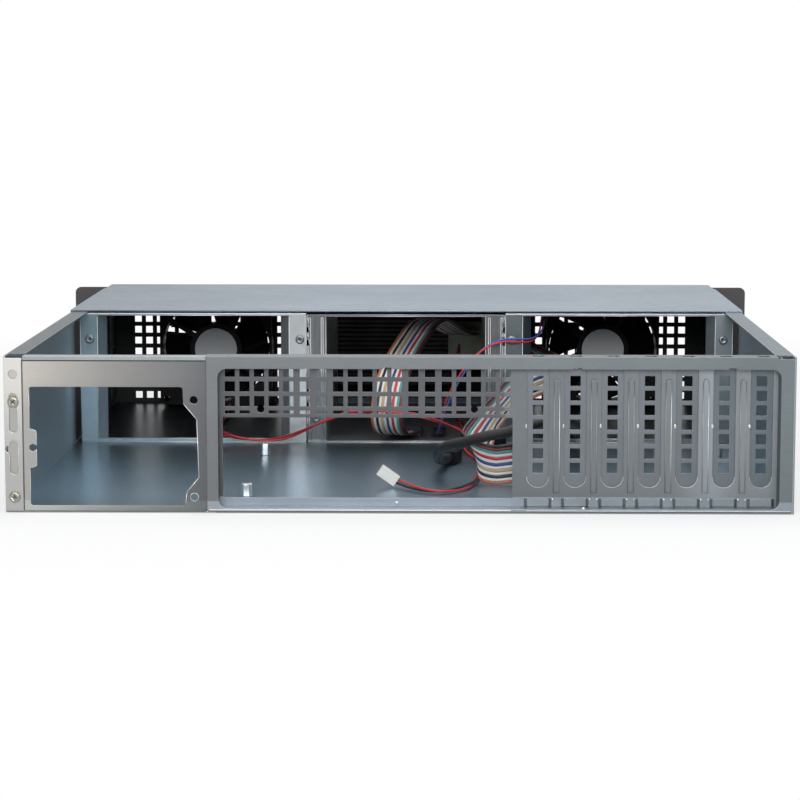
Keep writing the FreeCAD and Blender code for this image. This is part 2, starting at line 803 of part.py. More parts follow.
def make_button(z, radius, proud):
    """A push button: a domed cap and a collar that stops behind the plate."""
    collar_front = front - 1 - button_gap
    tip = front + panel_sheet + bezel_proud + proud
    cap = rod_y(control_x, z, radius, collar_front - 1.0, tip)
    rim = [edge for edge in cap.Edges if edge.CenterOfMass.y > tip - 0.1 and
           edge.Curve.TypeId == "Part::GeomCircle"]
    cap = cap.makeChamfer(0.6, rim)
    collar = rod_y(control_x, z, radius + 1.2, collar_front - 1.0, collar_front)
    return fused([cap, collar])


def make_led(x):
    lens = rod_y(x, led_z, led_radius, board_rear + board_sheet, front + panel_sheet + bezel_proud - 1.0)
    rim = [edge for edge in lens.Edges
           if edge.CenterOfMass.y > front and edge.Curve.TypeId == "Part::GeomCircle"]
    return lens.makeChamfer(0.5, rim)


# ---- axial fans ----
def make_fan_frame(side):
    x = side * fan_x
    half = fan_size / 2
    y0 = fan_rear
    y1 = front
    corner = 4.5
    pieces = []
    holes = [Part.Wire(Part.makeCircle(2.2, Vector(px, y, pz), Vector(0, 1, 0)))
             for y in (y0,) for px, pz in fan_screw_places(side)]
    bore = Part.Wire(Part.makeCircle(fan_bore_radius, Vector(x, y0, fan_z), Vector(0, 1, 0)))
    outline = rounded_rectangle(x - half, fan_z - half, x + half, fan_z + half, corner, y0)
    flange = sheet_with_holes(outline, holes + [bore], fan_flange)
    pieces.append(flange)
    pieces.append(flange.translated(Vector(0, fan_depth - fan_flange, 0)))
    tube = rod_y(x, fan_z, half - 0.05, y0 + 0.5, y1 - 0.5).cut(rod_y(x, fan_z, fan_bore_radius, y0, y1))
    pieces.append(tube)
    hub = rod_y(x, fan_z, fan_hub_radius + 0.5, y0, y0 + 3.0)
    bearing = rod_y(x, fan_z, 4.0, y0 + 3.0, y0 + 17.0)
    pieces += [hub, bearing]
    strut_count = 4
    for i in range(strut_count):
        angle = math.radians(45 + 360 / strut_count * i + 12)
        strut = block(fan_hub_radius - 1, y0, -1.6, fan_bore_radius + 0.6, y0 + 3.0, 1.6)
        strut.rotate(Vector(0, 0, 0), Vector(0, 1, 0), -math.degrees(angle))
        pieces.append(strut.translated(Vector(x, 0, fan_z)))
    frame = fused(pieces)
    shaft_hole = rod_y(x, fan_z, fan_shaft_radius + shaft_clearance, y0 + 2.0, y0 + 18.0)
    return frame.cut(shaft_hole)


def blade_section(radius, turn, pitch_degrees, chord, camber):
    """A curved blade section standing square to the radius at its root or tip."""
    pitch = math.radians(pitch_degrees)
    centre = Vector(radius * math.cos(turn), 0, radius * math.sin(turn))
    round_way = Vector(-math.sin(turn), 0, math.cos(turn))
    along = round_way * math.cos(pitch) + Vector(0, 1, 0) * math.sin(pitch)
    across = Vector(0, 1, 0) * math.cos(pitch) - round_way * math.sin(pitch)
    low = centre - along * (chord / 2)
    high = centre + along * (chord / 2)
    middle = centre + across * camber
    thick = across * fan_blade_sheet
    edges = [
        Part.Arc(low, middle, high).toShape(),
        Part.LineSegment(high, high + thick).toShape(),
        Part.Arc(high + thick, middle + thick, low + thick).toShape(),
        Part.LineSegment(low + thick, low).toShape(),
    ]
    return Part.Wire(edges)


def make_fan_rotor(side):
    x = side * fan_x
    y0 = fan_rear + 3.6
    y1 = front - 1.0
    cup = rod_y(0, 0, fan_hub_radius, y0, y1).cut(rod_y(0, 0, fan_hub_radius - 1.6, y0 - 1, y1 - 2.0))
    rim = [edge for edge in cup.Edges if edge.Curve.TypeId == "Part::GeomCircle"
           and edge.CenterOfMass.y > y1 - 0.1]
    cup = cup.makeFillet(1.2, rim)
    shaft = rod_y(0, 0, fan_shaft_radius, fan_rear + 3.0, y1 - 1.0)
    pieces = [cup, shaft]
    blade_middle = (y0 + y1) / 2 - 1.0
    for i in range(fan_blade_count):
        turn = 2 * math.pi * i / fan_blade_count
        root = blade_section(fan_hub_radius - 0.9, turn, 48, 17.0, 1.4)
        tip = blade_section(fan_tip_radius, turn + math.radians(10), 30, 30.0, 2.2)
        blade = Part.makeLoft([root, tip], True, True)
        pieces.append(blade.translated(Vector(0, blade_middle, 0)))
    rotor = pieces[0].fuse(pieces[1:])
    keep = rod_y(0, 0, fan_tip_radius, y0 - 4, y1 + 4)
    rotor = rotor.common(keep)
    return rotor.translated(Vector(x, 0, fan_z))


def make_fan_label(side):
    return rod_y(side * fan_x, fan_z, label_radius, fan_rear - label_sheet, fan_rear)


def make_fan_screws():
    screws = []
    for side in (-1, 1):
        for x, z in fan_screw_places(side):
            screws.append(pan_screw(Vector(x, front + panel_sheet, z), (0, 1, 0), 3.4, 1.6, 1.8, 6.0))
    return Part.makeCompound(screws)


# ---- hexagonal board standoffs ----
def make_standoffs():
    pieces = []
    radius = standoff_across / math.sqrt(3)
    for x, y in standoff_places():
        corners = [(x + radius * math.cos(math.radians(60 * i)), y + radius * math.sin(math.radians(60 * i)))
                   for i in range(6)]
        body = prism_z(corners, sheet, sheet + standoff_height)
        pieces.append(body.cut(rod_z(x, y, standoff_bore_radius, sheet + 2.0, sheet + standoff_height + 1)))
    return Part.makeCompound(pieces)


# ---- loose cables ----
def cord_wire(points, name):
    """Straight runs joined by arcs as large as the two runs at each point allow."""
    vectors = [Vector(*point) for point in points]
    edges = []
    start = vectors[0]
    radii = []
    for i in range(1, len(vectors) - 1):
        back = vectors[i - 1] - vectors[i]
        on = vectors[i + 1] - vectors[i]
        reach = 0.45 * min(back.Length, on.Length)
        back.normalize()
        on.normalize()
        half_turn = (math.pi - back.getAngle(on)) / 2
        radius = reach / math.tan(half_turn)
        radii.append(round(radius, 1))
        first = vectors[i] + back * reach
        last = vectors[i] + on * reach
        middle_way = (back + on).normalize()
        middle = vectors[i] + middle_way * (radius / math.cos(half_turn) - radius)
        edges.append(Part.LineSegment(start, first).toShape())
        edges.append(Part.Arc(first, middle, last).toShape())
        start = last
    edges.append(Part.LineSegment(start, vectors[-1]).toShape())
    wire = Part.Wire(edges)
    print(name, "length", round(wire.Length, 1), "radii", radii)
    return wire


def round_cord(points, diameter, name):
    """A plain cable of eight flats along its route, with a round cable's section area."""
    wire = cord_wire(points, name)
    start = Vector(*points[0])
    direction = (Vector(*points[1]) - start).normalize()
    side = direction.cross(Vector(0, 0, 1)).normalize()
    up = side.cross(direction)
    corner_count = 8
    section = math.pi * diameter * diameter / 4
    one_corner = math.sin(2 * math.pi / corner_count) / 2
    reach = math.sqrt(section / (corner_count * one_corner))
    corners = []
    for i in range(corner_count):
        angle = 2 * math.pi * (i + 0.5) / corner_count
        corners.append(start + side * (reach * math.cos(angle)) + up * (reach * math.sin(angle)))
    tube = wire.makePipeShell([polygon_wire(corners)], True, False)
    expected = section * wire.Length
    print(name, "volume", round(tube.Volume, 1), "expected", round(expected, 1))
    return tube


def flat_cord(points, width, thickness, name):
    """A plain ribbon cable on edge: its width stays upright all along its route."""
    wire = cord_wire(points, name)
    start = Vector(*points[0])
    along = Vector(*points[1]) - start
    along.z = 0
    along.normalize()
    side = Vector(0, 0, 1).cross(along)
    up = Vector(0, 0, 1)
    corners = [start - up * (width / 2) - side * (thickness / 2),
               start + up * (width / 2) - side * (thickness / 2),
               start + up * (width / 2) + side * (thickness / 2),
               start - up * (width / 2) + side * (thickness / 2)]
    sweep = Part.BRepOffsetAPI.MakePipeShell(wire)
    sweep.setBiNormalMode(Vector(0, 0, 1))
    sweep.add(polygon_wire(corners))
    sweep.build()
    sweep.makeSolid()
    band = sweep.shape()
    print(name, "volume", round(band.Volume, 1))
    return band


def hanging_ribbon(points, width, thickness, name):
    """A plain ribbon cable lying flat: its route stays in one upright plane."""
    wire = cord_wire(points, name)
    start = Vector(*points[0])
    along = (Vector(*points[1]) - start).normalize()
    level = Vector(points[-1][0] - points[0][0], points[-1][1] - points[0][1], 0).normalize()
    side = Vector(0, 0, 1).cross(level)
    up = side.cross(along) * -1
    corners = [start - side * (width / 2) - up * (thickness / 2),
               start + side * (width / 2) - up * (thickness / 2),
               start + side * (width / 2) + up * (thickness / 2),
               start - side * (width / 2) + up * (thickness / 2)]
    band = wire.makePipeShell([polygon_wire(corners)], True, False)
    print(name, "volume", round(band.Volume, 1), "expected", round(width * thickness * wire.Length, 1))
    return band


def depth_at(distance):
    """The y of a distance from the rear plane: the bay's part and the front's part keep to their ends."""
    if distance <= route_bay:
        return rear + distance * bay_depth / route_bay
    if distance >= route_tail:
        return front - (route_front - distance)
    share = (distance - route_bay) / (route_tail - route_bay)
    return (rear + bay_depth) * (1 - share) + (front - route_front + route_tail) * share


def route(points):
    """Points given as x, distance from the rear plane and height."""
    return [(x, depth_at(distance), z) for x, distance, z in points]


def toward(points):
    """The level direction of a route's last run."""
    last = Vector(*points[-1])
    before = Vector(*points[-2])
    way = last - before
    way.z = 0
    return way.normalize()


def housing(points, length, width, height, drop=0.0):
    """A small connector housing that starts where a route ends."""
    way = toward(points)
    end = Vector(*points[-1])
    box = Part.makeBox(length, width, height, Vector(0, -width / 2, -height / 2 + drop))
    box = box.makeFillet(0.3, [edge for edge in box.Edges if abs(edge.Length - length) < 1e-6])
    box.rotate(Vector(0, 0, 0), Vector(0, 0, 1), math.degrees(math.atan2(way.y, way.x)))
    return box.translated(end)


plug_tilt = 35.0


def tilted_housing(points, length, width, height):
    """A small two-pole housing that stands on one corner, its far end raised by its stiff wires."""
    box = Part.makeBox(length, height, width, Vector(0, -height / 2, -width / 2))
    box = box.makeFillet(0.3, [edge for edge in box.Edges if abs(edge.Length - length) < 1e-6])
    box.rotate(Vector(0, 0, 0), Vector(0, 1, 0), 180 + plug_tilt)
    return box.translated(Vector(*points[-1]))


lead_diameter = 2.6
sleeve_diameter = 7.0
ribbon_sheet = 1.0
ribbon_one_width = 22.0
ribbon_two_width = 24.0

fan_lead_left_route = route([
    (-128.0, 435.0, 3.9), (-127.0, 412.0, 3.0), (-124.5, 375.0, 2.6),
    (-126.5, 335.0, 2.6), (-124.0, 303.0, 3.2),
    (-122.5, 280.0, 6.4), (-120.0, 262.0, 7.8), (-113.0, 251.0, 6.2),
    (-99.0, 247.5, 4.4), (-84.0, 246.0, 4.6),
    (-73.0, 244.0, 7.4), (-54.0, 240.0, 17.0), (-38.0, 236.0, 23.6),
    (-20.0, 232.5, 25.6), (-3.0, 231.0, 25.0),
    (16.0, 232.0, 21.0), (31.7, 235.5, 14.7), (41.3, 239.5, 8.6), (48.0, 244.0, 4.8), (55.0, 247.5, 3.7),
])
fan_lead_right_route = route([
    (99.5, 435.0, 76.0), (92.0, 405.0, 78.0), (88.5, 360.0, 79.5), (90.5, 320.0, 79.5), (89.5, 292.0, 77.5),
    (87.2, 274.0, 70.5), (80.5, 259.5, 67.5), (71.5, 252.0, 68.5), (62.0, 248.0, 69.0), (52.7, 245.0, 66.0),
    (44.0, 243.5, 59.0), (34.5, 243.0, 46.0), (27.0, 244.0, 31.0), (22.5, 249.0, 15.5), (20.5, 262.0, 5.8),
    (21.5, 281.0, 4.6),
])
ribbon_one_route = route([
    (39.0, 445.0, 52.5), (33.8, 424.0, 56.0), (25.3, 390.0, 65.0), (17.8, 360.0, 72.0), (10.9, 332.0, 71.8),
    (5.2, 309.0, 65.5), (-1.8, 281.0, 57.0), (-8.0, 256.0, 45.5), (-10.8, 245.0, 33.0), (-11.8, 241.0, 21.0),
    (-10.3, 247.0, 10.5), (-6.5, 262.0, 5.6), (-1.5, 282.0, 5.4),
])
ribbon_two_route = route([
    (67.0, 445.0, 60.0), (67.0, 426.0, 59.5), (72.0, 390.0, 54.0), (82.0, 340.0, 48.0), (93.0, 295.0, 46.0),
    (98.0, 258.0, 48.0), (93.0, 222.0, 51.0), (80.0, 186.0, 51.5), (67.0, 158.0, 48.0), (57.0, 136.0, 41.0),
    (47.5, 117.0, 31.0), (41.5, 103.0, 22.0), (45.5, 93.5, 17.0), (56.0, 90.5, 15.4), (66.0, 91.0, 15.4),
])
sleeved_cable_route = route([
    (67.0, 445.0, 20.0), (67.0, 430.0, 20.0), (70.0, 402.0, 11.0), (80.0, 355.0, 5.6), (95.0, 300.0, 5.6),
    (104.0, 262.0, 10.5), (107.0, 225.0, 13.5), (107.0, 180.0, 19.0),
    (105.0, 135.0, 29.0), (97.0, 100.0, 38.0),
    (82.0, 84.0, 41.0), (66.0, 80.5, 39.0), (51.0, 81.0, 36.0), (38.5, 85.0, 32.0), (28.0, 93.0, 26.5),
    (21.0, 106.0, 19.5), (19.5, 124.0, 12.0), (22.0, 146.0, 6.2), (27.5, 168.0, 5.2),
])
switch_lead_route = route([
    (36.0, 451.0, 44.0), (33.0, 430.0, 26.0), (31.0, 402.0, 8.0), (34.0, 360.0, 3.8), (38.0, 318.0, 4.2),
    (38.0, 280.0, 4.6), (36.5, 250.0, 3.4), (38.5, 218.0, 2.8), (45.0, 185.0, 2.8), (47.8, 150.0, 2.8),
    (44.8, 120.0, 2.8), (43.2, 97.0, 2.8), (40.0, 79.0, 2.8), (33.0, 64.0, 2.8), (20.0, 56.0, 2.8),
    (8.0, 66.0, 3.0), (-2.7, 82.0, 4.6),
])


def make_port_board():
    ribbon_x, header_rear, ribbon_z = ribbon_two_route[0]
    cable_x, _, cable_z = sleeved_cable_route[0]
    half = ribbon_two_width / 2 + 1.0
    y0 = depth_at(port_board_distance)
    y1 = y0 + board_sheet
    board = block(ribbon_x - 9.0, y0, 10.0, ribbon_x + 9.0, y1, 74.0)
    ribbon_header = block(ribbon_x - 4.0, header_rear, ribbon_z - half, ribbon_x + 4.0, y0, ribbon_z + half)
    cable_header = block(cable_x - 4.5, header_rear, cable_z - 4.5, cable_x + 4.5, y0, cable_z + 4.5)
    posts = [rod_y(ribbon_x + 7.8, z, 1.1, y1, front - bezel_inset) for z in (14.0, 70.0)]
    return fused([board, ribbon_header, cable_header] + posts)


def make_all():
    parts["chassis_base"] = make_chassis_base()
    parts["rear_frame"] = make_rear_frame()
    parts["psu_plate"] = make_psu_plate()
    strip_x = -half_width + left_strip_width / 2
    screws = [pan_screw(Vector(strip_x, rear, z), (0, -1, 0), 3.3, 1.6, 1.5, 4.0)
              for z in strip_screw_heights()]
    parts["rear_strip_screws"] = Part.makeCompound(screws)
    parts["io_slot_panel"] = make_io_slot_panel()
    for i, x in enumerate(slot_centres()):
        parts["slot_cover_%d" % (i + 1)] = make_slot_cover(x)
    top = ledge_height + cover_sheet
    screws = [pan_screw(Vector(x, rear + 6.0, top), (0, 0, 1), slot_screw_radius, 1.6, 1.4, 3.5)
              for x in slot_centres()]
    parts["slot_cover_screws"] = Part.makeCompound(screws)
    parts["front_cover"] = make_front_cover()
    parts["front_cover_screws"] = make_front_cover_screws()
    parts["front_panel"] = make_front_panel()
    ear = make_ear_left()
    parts["rack_ear_left"] = ear
    parts["rack_ear_right"] = mirrored(ear)
    parts["ear_screws"] = make_ear_screws()
    parts["bay_bezel"] = make_bay_bezel()
    bracket = make_bracket()
    parts["fan_bracket_right"] = bracket
    parts["fan_bracket_left"] = mirrored(bracket)
    screws = [pan_screw(Vector(side * x, partition, z), (0, -1, 0), 3.0, 1.5, 1.5, 4.0)
              for side in (-1, 1) for x, z in bracket_screw_places()]
    parts["fan_bracket_screws"] = Part.makeCompound(screws)
    parts["drive_cage"] = make_drive_cage()
    screws = [pan_screw(Vector(side * cage_screw_x(), partition, z), (0, -1, 0), 2.8, 1.5, 1.5, 4.0)
              for side in (-1, 1) for z in cage_screw_heights()]
    parts["drive_cage_screws"] = Part.makeCompound(screws)
    for side, name in ((-1, "left"), (1, "right")):
        parts["fan_frame_" + name] = make_fan_frame(side)
        parts["fan_rotor_" + name] = make_fan_rotor(side)
        parts["fan_label_" + name] = make_fan_label(side)
    parts["fan_screws"] = make_fan_screws()
    parts["standoffs"] = make_standoffs()
    parts["switch_board"] = make_switch_board()
    parts["power_button"] = make_button(power_button_z, power_button_radius, 1.6)
    parts["reset_button"] = make_button(reset_button_z, reset_button_radius, 0.0)
    for name, x in zip(("power_led", "disk_led"), led_places()):
        parts[name] = make_led(x)
    parts["port_board"] = make_port_board()
    parts["fan_lead_left"] = round_cord(fan_lead_left_route, lead_diameter, "fan_lead_left")
    parts["fan_plug_left"] = housing(fan_lead_left_route, 9.0, 8.0, 4.4)
    parts["fan_lead_right"] = round_cord(fan_lead_right_route, lead_diameter, "fan_lead_right")
    parts["fan_plug_right"] = housing(fan_lead_right_route, 9.0, 8.0, 4.4)
    parts["ribbon_one"] = hanging_ribbon(ribbon_one_route, ribbon_one_width, ribbon_sheet, "ribbon_one")
    parts["ribbon_one_plug"] = housing(ribbon_one_route, 9.0, 22.0, 6.0)
    parts["ribbon_two"] = flat_cord(ribbon_two_route, ribbon_two_width, ribbon_sheet, "ribbon_two")
    parts["ribbon_two_plug"] = housing(ribbon_two_route, 10.0, 5.0, 25.0)
    parts["sleeved_cable"] = round_cord(sleeved_cable_route, sleeve_diameter, "sleeved_cable")
    parts["sleeved_cable_plug"] = housing(sleeved_cable_route, 14.0, 10.0, 7.4)
    parts["switch_lead"] = round_cord(switch_lead_route, lead_diameter, "switch_lead")
    parts["switch_lead_plug"] = tilted_housing(switch_lead_route, 12.0, 6.6, 4.6)


make_all()
os.makedirs("parts", exist_ok=True)
for name, shape in parts.items():
    shape.exportStep("parts/" + name + ".step")
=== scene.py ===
"""Looks of the empty rackmount server case.

Materials, fasteners, marks in the sheet metal, wires and ribbons, the floor and the light.
"""
import bpy
import json
import math
import random
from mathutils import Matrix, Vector


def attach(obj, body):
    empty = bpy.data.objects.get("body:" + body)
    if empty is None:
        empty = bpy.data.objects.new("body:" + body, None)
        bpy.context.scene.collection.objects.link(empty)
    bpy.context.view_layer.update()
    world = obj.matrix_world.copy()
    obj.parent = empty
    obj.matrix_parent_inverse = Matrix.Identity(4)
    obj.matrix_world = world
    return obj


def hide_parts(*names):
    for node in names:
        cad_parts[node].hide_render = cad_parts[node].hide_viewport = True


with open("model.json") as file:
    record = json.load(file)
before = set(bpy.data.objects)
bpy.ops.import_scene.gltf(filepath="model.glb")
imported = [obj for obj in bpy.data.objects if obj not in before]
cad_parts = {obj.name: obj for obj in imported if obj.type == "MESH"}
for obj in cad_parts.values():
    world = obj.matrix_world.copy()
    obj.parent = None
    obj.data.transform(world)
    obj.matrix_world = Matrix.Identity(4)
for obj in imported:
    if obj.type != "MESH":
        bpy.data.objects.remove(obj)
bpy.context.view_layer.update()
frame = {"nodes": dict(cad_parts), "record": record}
nodes = frame["nodes"]
scene = bpy.context.scene

# ---- camera ----
camera_data = bpy.data.cameras.new("camera")
camera_data.lens = 114.17
camera_data.sensor_width = 36.0
camera = bpy.data.objects.new("camera", camera_data)
camera.location = (0.0227, -1.5949, 0.2388)
camera.rotation_euler = (math.radians(82.64), 0.0, math.radians(0.93))
scene.collection.objects.link(camera)
scene.camera = camera
scene.view_settings.view_transform = "Standard"


# ---- node helpers ----
class Graph:
    """A small helper that adds nodes to a material and joins them."""

    def __init__(self, tree):
        self.tree = tree
        tree.nodes.clear()

    def add(self, kind, inputs=None, **settings):
        node = self.tree.nodes.new(kind)
        for key, value in settings.items():
            setattr(node, key, value)
        for key, value in (inputs or {}).items():
            socket = node.inputs[key]
            if hasattr(value, "is_output"):
                self.tree.links.new(value, socket)
            else:
                socket.default_value = value
        return node

    def math(self, operation, a, b=0.0, clamp=False):
        return self.add("ShaderNodeMath", {0: a, 1: b}, operation=operation, use_clamp=clamp).outputs[0]

    def noise(self, vector, scale, detail=3.0, roughness=0.55):
        return self.add("ShaderNodeTexNoise", {"Vector": vector, "Scale": scale, "Detail": detail,
                                               "Roughness": roughness}).outputs["Fac"]

    def span(self, value, low, high):
        """Maps 0.3 to 0.7, which is where noise lies, to low to high."""
        return self.add("ShaderNodeMapRange", {0: value, 1: 0.3, 2: 0.7, 3: low, 4: high}).outputs[0]

    def mix(self, factor, a, b, blend="MIX"):
        node = self.add("ShaderNodeMix", data_type="RGBA", blend_type=blend)
        for key, value in ((0, factor), (6, a), (7, b)):
            if hasattr(value, "is_output"):
                self.tree.links.new(value, node.inputs[key])
            else:
                node.inputs[key].default_value = value
        return node.outputs[2]

    def axes(self):
        """The place's x, y and z in metres."""
        place = self.add("ShaderNodeNewGeometry").outputs["Position"]
        return self.add("ShaderNodeSeparateXYZ", {0: place}).outputs

    def along(self, value, stops):
        """A factor that follows straight lines through (value, factor) stops."""
        total = None
        for (a, fa), (b, fb) in zip(stops, stops[1:]):
            step = self.add("ShaderNodeMapRange", {0: value, 1: a, 2: b, 3: 0.0, 4: fb - fa}).outputs[0]
            total = self.math("ADD", step, stops[0][1] if total is None else total)
        return total

    def within(self, value, low, high, soft=0.0002):
        """1 between two values and 0 outside them."""
        return self.along(value, [(low - soft, 0.0), (low + soft, 1.0),
                                  (high - soft, 1.0), (high + soft, 0.0)])

    def above(self, value, edge, soft=0.0002):
        """1 past a value and 0 before it."""
        return self.along(value, [(edge - soft, 0.0), (edge + soft, 1.0)])

    def below(self, value, edge, soft=0.0002):
        """1 before a value and 0 past it."""
        return self.along(value, [(edge - soft, 1.0), (edge + soft, 0.0)])

    def stretched(self, x, y, z):
        place = self.add("ShaderNodeNewGeometry").outputs["Position"]
        return self.add("ShaderNodeMapping", {"Vector": place, "Scale": (x, y, z)}).outputs[0]

    def lumps(self, strength, distance, height, normal=None):
        """The normal of a surface that rises and falls with height."""
        inputs = {"Strength": strength, "Distance": distance, "Height": height}
        if normal is not None:
            inputs["Normal"] = normal
        return self.add("ShaderNodeBump", inputs).outputs[0]

    def surface(self, inputs):
        """Ends a material with a surface that has these inputs."""
        shader = self.add("ShaderNodeBsdfPrincipled", inputs)
        self.add("ShaderNodeOutputMaterial", {"Surface": shader.outputs[0]})

    def edges(self, radius):
        """1 along the sharp edges of a part and 0 on its faces, and the softened normal."""
        soft = self.add("ShaderNodeBevel", {"Radius": radius}, samples=4).outputs[0]
        true = self.add("ShaderNodeNewGeometry").outputs["True Normal"]
        same = self.add("ShaderNodeVectorMath", {0: soft, 1: true}, operation="DOT_PRODUCT").outputs["Value"]
        edge = self.add("ShaderNodeMapRange", {0: same, 1: 0.99, 2: 0.75, 3: 0.0, 4: 1.0}).outputs[0]
        return edge, soft


def new_material(name):
    """An empty material and the graph that fills it."""
    material = bpy.data.materials.new(name)
    material.use_nodes = True
    return material, Graph(material.node_tree)


def rgba(color, factor=1.0):
    return (color[0] * factor, color[1] * factor, color[2] * factor, 1.0)


# where metal is smoother than this, its reflections turn noisy in the picture
least_roughness = 0.29


def metal(name, color, roughness, metallic=0.9, grain=(60, 60, 60), mottle=18.0, variation=0.12,
          bump=0.05, edge_radius=0.0006, wear=(0.75, 0.77, 0.78), wear_amount=0.5, polish=None,
          uneven=1.0, flecks=0.5):
    """Plated or satin sheet steel: grain, slow clouding, faint handling marks and brighter sheared edges.

    The colour is one colour, or a function that paints it from place to place, painted reflections and shade
    included. Polish is a function that adds to the roughness from place to place.
    """
    material, g = new_material(name)
    place = g.stretched(1, 1, 1)
    cloud = g.noise(place, mottle, 4.0, 0.6)
    fine = g.noise(g.stretched(*grain), 10.0, 3.0, 0.6)
    handling = g.noise(g.stretched(0.6, 0.6, 0.6), 9.0, 6.0, 0.75)
    tone = color(g) if callable(color) else rgba(color)
    shades = (1 - variation, 1 + variation, 1 - variation * 1.2)
    dark, light, dull = (rgba((1, 1, 1), shade) for shade in shades)
    tint = g.mix(1.0, tone, g.mix(g.span(cloud, 0.0, 1.0), dark, light), "MULTIPLY")
    tint = g.mix(g.span(fine, 0.0, flecks), tint, g.mix(1.0, tone, dull, "MULTIPLY"))
    edge, soft = g.edges(edge_radius)
    worn = g.math("MULTIPLY", edge, g.span(handling, wear_amount * 0.3, wear_amount), True)
    base = g.mix(worn, tint, rgba(wear))
    rough = g.math("ADD", g.span(fine, -0.05 * uneven, 0.05 * uneven),
                   g.span(handling, roughness - 0.05 * uneven, roughness + 0.07 * uneven))
    if polish:
        rough = g.math("ADD", rough, polish(g))
    rough = g.math("MAXIMUM", rough, least_roughness)
    height = g.math("ADD", g.math("MULTIPLY", fine, 0.5), g.math("MULTIPLY", cloud, 0.5))
    g.surface({"Base Color": base, "Metallic": metallic, "Roughness": rough,
               "Normal": g.lumps(bump, 0.0006, height, soft)})
    return material


def plastic(name, color, roughness, scale=900.0, bump=0.08, variation=0.15, wear=None, specular=0.5,
            edge_radius=0.0004):
    """Moulded plastic, paint or insulation with a fine texture and paler edges."""
    material, g = new_material(name)
    place = g.stretched(1, 1, 1)
    fine = g.noise(place, scale, 2.0)
    slow = g.noise(place, 35.0, 4.0, 0.65)
    tint = g.mix(g.span(slow, 0.0, 1.0), rgba(color, 1 - variation), rgba(color, 1 + variation))
    edge, soft = g.edges(edge_radius)
    pale = wear or tuple(min(1.0, c * 1.5 + 0.02) for c in color)
    worn = g.math("MULTIPLY", edge, g.span(slow, 0.15, 0.6), True)
    base = g.mix(worn, tint, rgba(pale))
    rough = g.span(slow, roughness - 0.06, roughness + 0.08)
    g.surface({"Base Color": base, "Roughness": rough, "Normal": g.lumps(bump, 0.0002, fine, soft),
               "Specular IOR Level": specular})
    return material


def braid(name, color):
    """A woven cable sleeve."""
    material, g = new_material(name)
    place = g.stretched(1, 1, 1)
    left = g.add("ShaderNodeTexWave", {"Vector": place, "Scale": 260.0, "Distortion": 0.6},
                 bands_direction="DIAGONAL").outputs["Fac"]
    right = g.add("ShaderNodeTexWave", {"Vector": g.stretched(-1, 1, 1), "Scale": 260.0, "Distortion": 0.6},
                  bands_direction="DIAGONAL").outputs["Fac"]
    weave = g.math("MAXIMUM", left, right)
    base = g.mix(weave, rgba(color, 0.7), rgba(color, 1.4))
    rough = g.span(g.noise(place, 60.0), 0.42, 0.6)
    g.surface({"Base Color": base, "Roughness": rough, "Normal": g.lumps(0.5, 0.0003, weave)})
    return material


def circuit(name):
    """Solder mask over copper, olive green."""
    material, g = new_material(name)
    place = g.stretched(1, 1, 1)
    tracks = g.add("ShaderNodeTexBrick", {
        "Vector": place, "Scale": 220.0, "Mortar Size": 0.012, "Color1": (0.10, 0.12, 0.06, 1),
        "Color2": (0.12, 0.14, 0.08, 1), "Mortar": (0.22, 0.25, 0.14, 1)}).outputs["Color"]
    slow = g.noise(place, 80.0)
    base = g.mix(g.span(slow, 0.0, 0.4), tracks, (0.16, 0.17, 0.12, 1))
    edge, soft = g.edges(0.0004)
    base = g.mix(g.math("MULTIPLY", edge, 0.7), base, (0.45, 0.46, 0.36, 1))
    rough = g.span(slow, 0.32, 0.5)
    g.surface({"Base Color": base, "Roughness": rough, "Normal": g.lumps(0.15, 0.0001, slow, soft)})
    return material


# ---- sheet metal, with painted reflections and painted shade that change from place to place ----
# the places where it changes, in metres
floor_line = 0.0016
rail_line = 0.0853
bay_line = 0.032
rear_line = -0.2293
side_line = 0.2146
plate_fold_low = 0.0833
plate_fold_high = 0.0839
port_end = 0.0575


def base_with_painted_light(g):
    """The folded base: blue on its floor and inner walls, grey outside and warm on its rear left strip, with
    painted
    light: painted shade under the fans, a pale painted reflection across the floor near the rear, rail tops
    painted darker at the left and the rear left strip painted paler towards its top."""
    x, y, z = g.axes()
    # painted shade: the floor and walls under the fans are dark
    in_bay = g.above(y, bay_line, 0.004)
    # painted reflection: a pale band across the floor near the rear, darker towards the front
    floor_tone = g.mix(g.along(y, [(-0.23, 0.8), (-0.17, 0.1), (-0.1, 0.1), (0.02, 1.0)]),
                       (0.30, 0.425, 0.52, 1), (0.115, 0.17, 0.20, 1))
    floor_tone = g.mix(in_bay, floor_tone, (0.028, 0.044, 0.055, 1))
    wall_tone = g.mix(in_bay, (0.34, 0.43, 0.485, 1), (0.038, 0.05, 0.057, 1))
    tone = g.mix(g.below(z, floor_line), wall_tone, floor_tone)
    inside = g.math("MULTIPLY", g.within(x, -side_line, side_line), g.above(z, 0.0004))
    tone = g.mix(inside, (0.27, 0.31, 0.33, 1), tone)
    # painted reflections: the rail tops are darker at the left
    rail = g.mix(g.below(x, 0.0), (0.15, 0.185, 0.21, 1), (0.074, 0.093, 0.099, 1))
    tone = g.mix(g.above(z, rail_line), tone, rail)
    # painted light: the rear left strip is paler towards its top
    warm = g.mix(g.along(z, [(0.03, 0.0), (0.07, 1.0)]), (0.40, 0.405, 0.39, 1), (0.59, 0.58, 0.55, 1))
    cool = (0.22, 0.255, 0.265, 1)
    return g.mix(g.below(y, rear_line), tone, g.mix(g.below(x, -0.1), cool, warm))


def base_polish(g):
    """The walls and rails are less shiny than the floor."""
    z = g.axes()[2]
    return g.mix(g.below(z, floor_line), (0.1, 0.1, 0.1, 1), (0.0, 0.0, 0.0, 1))


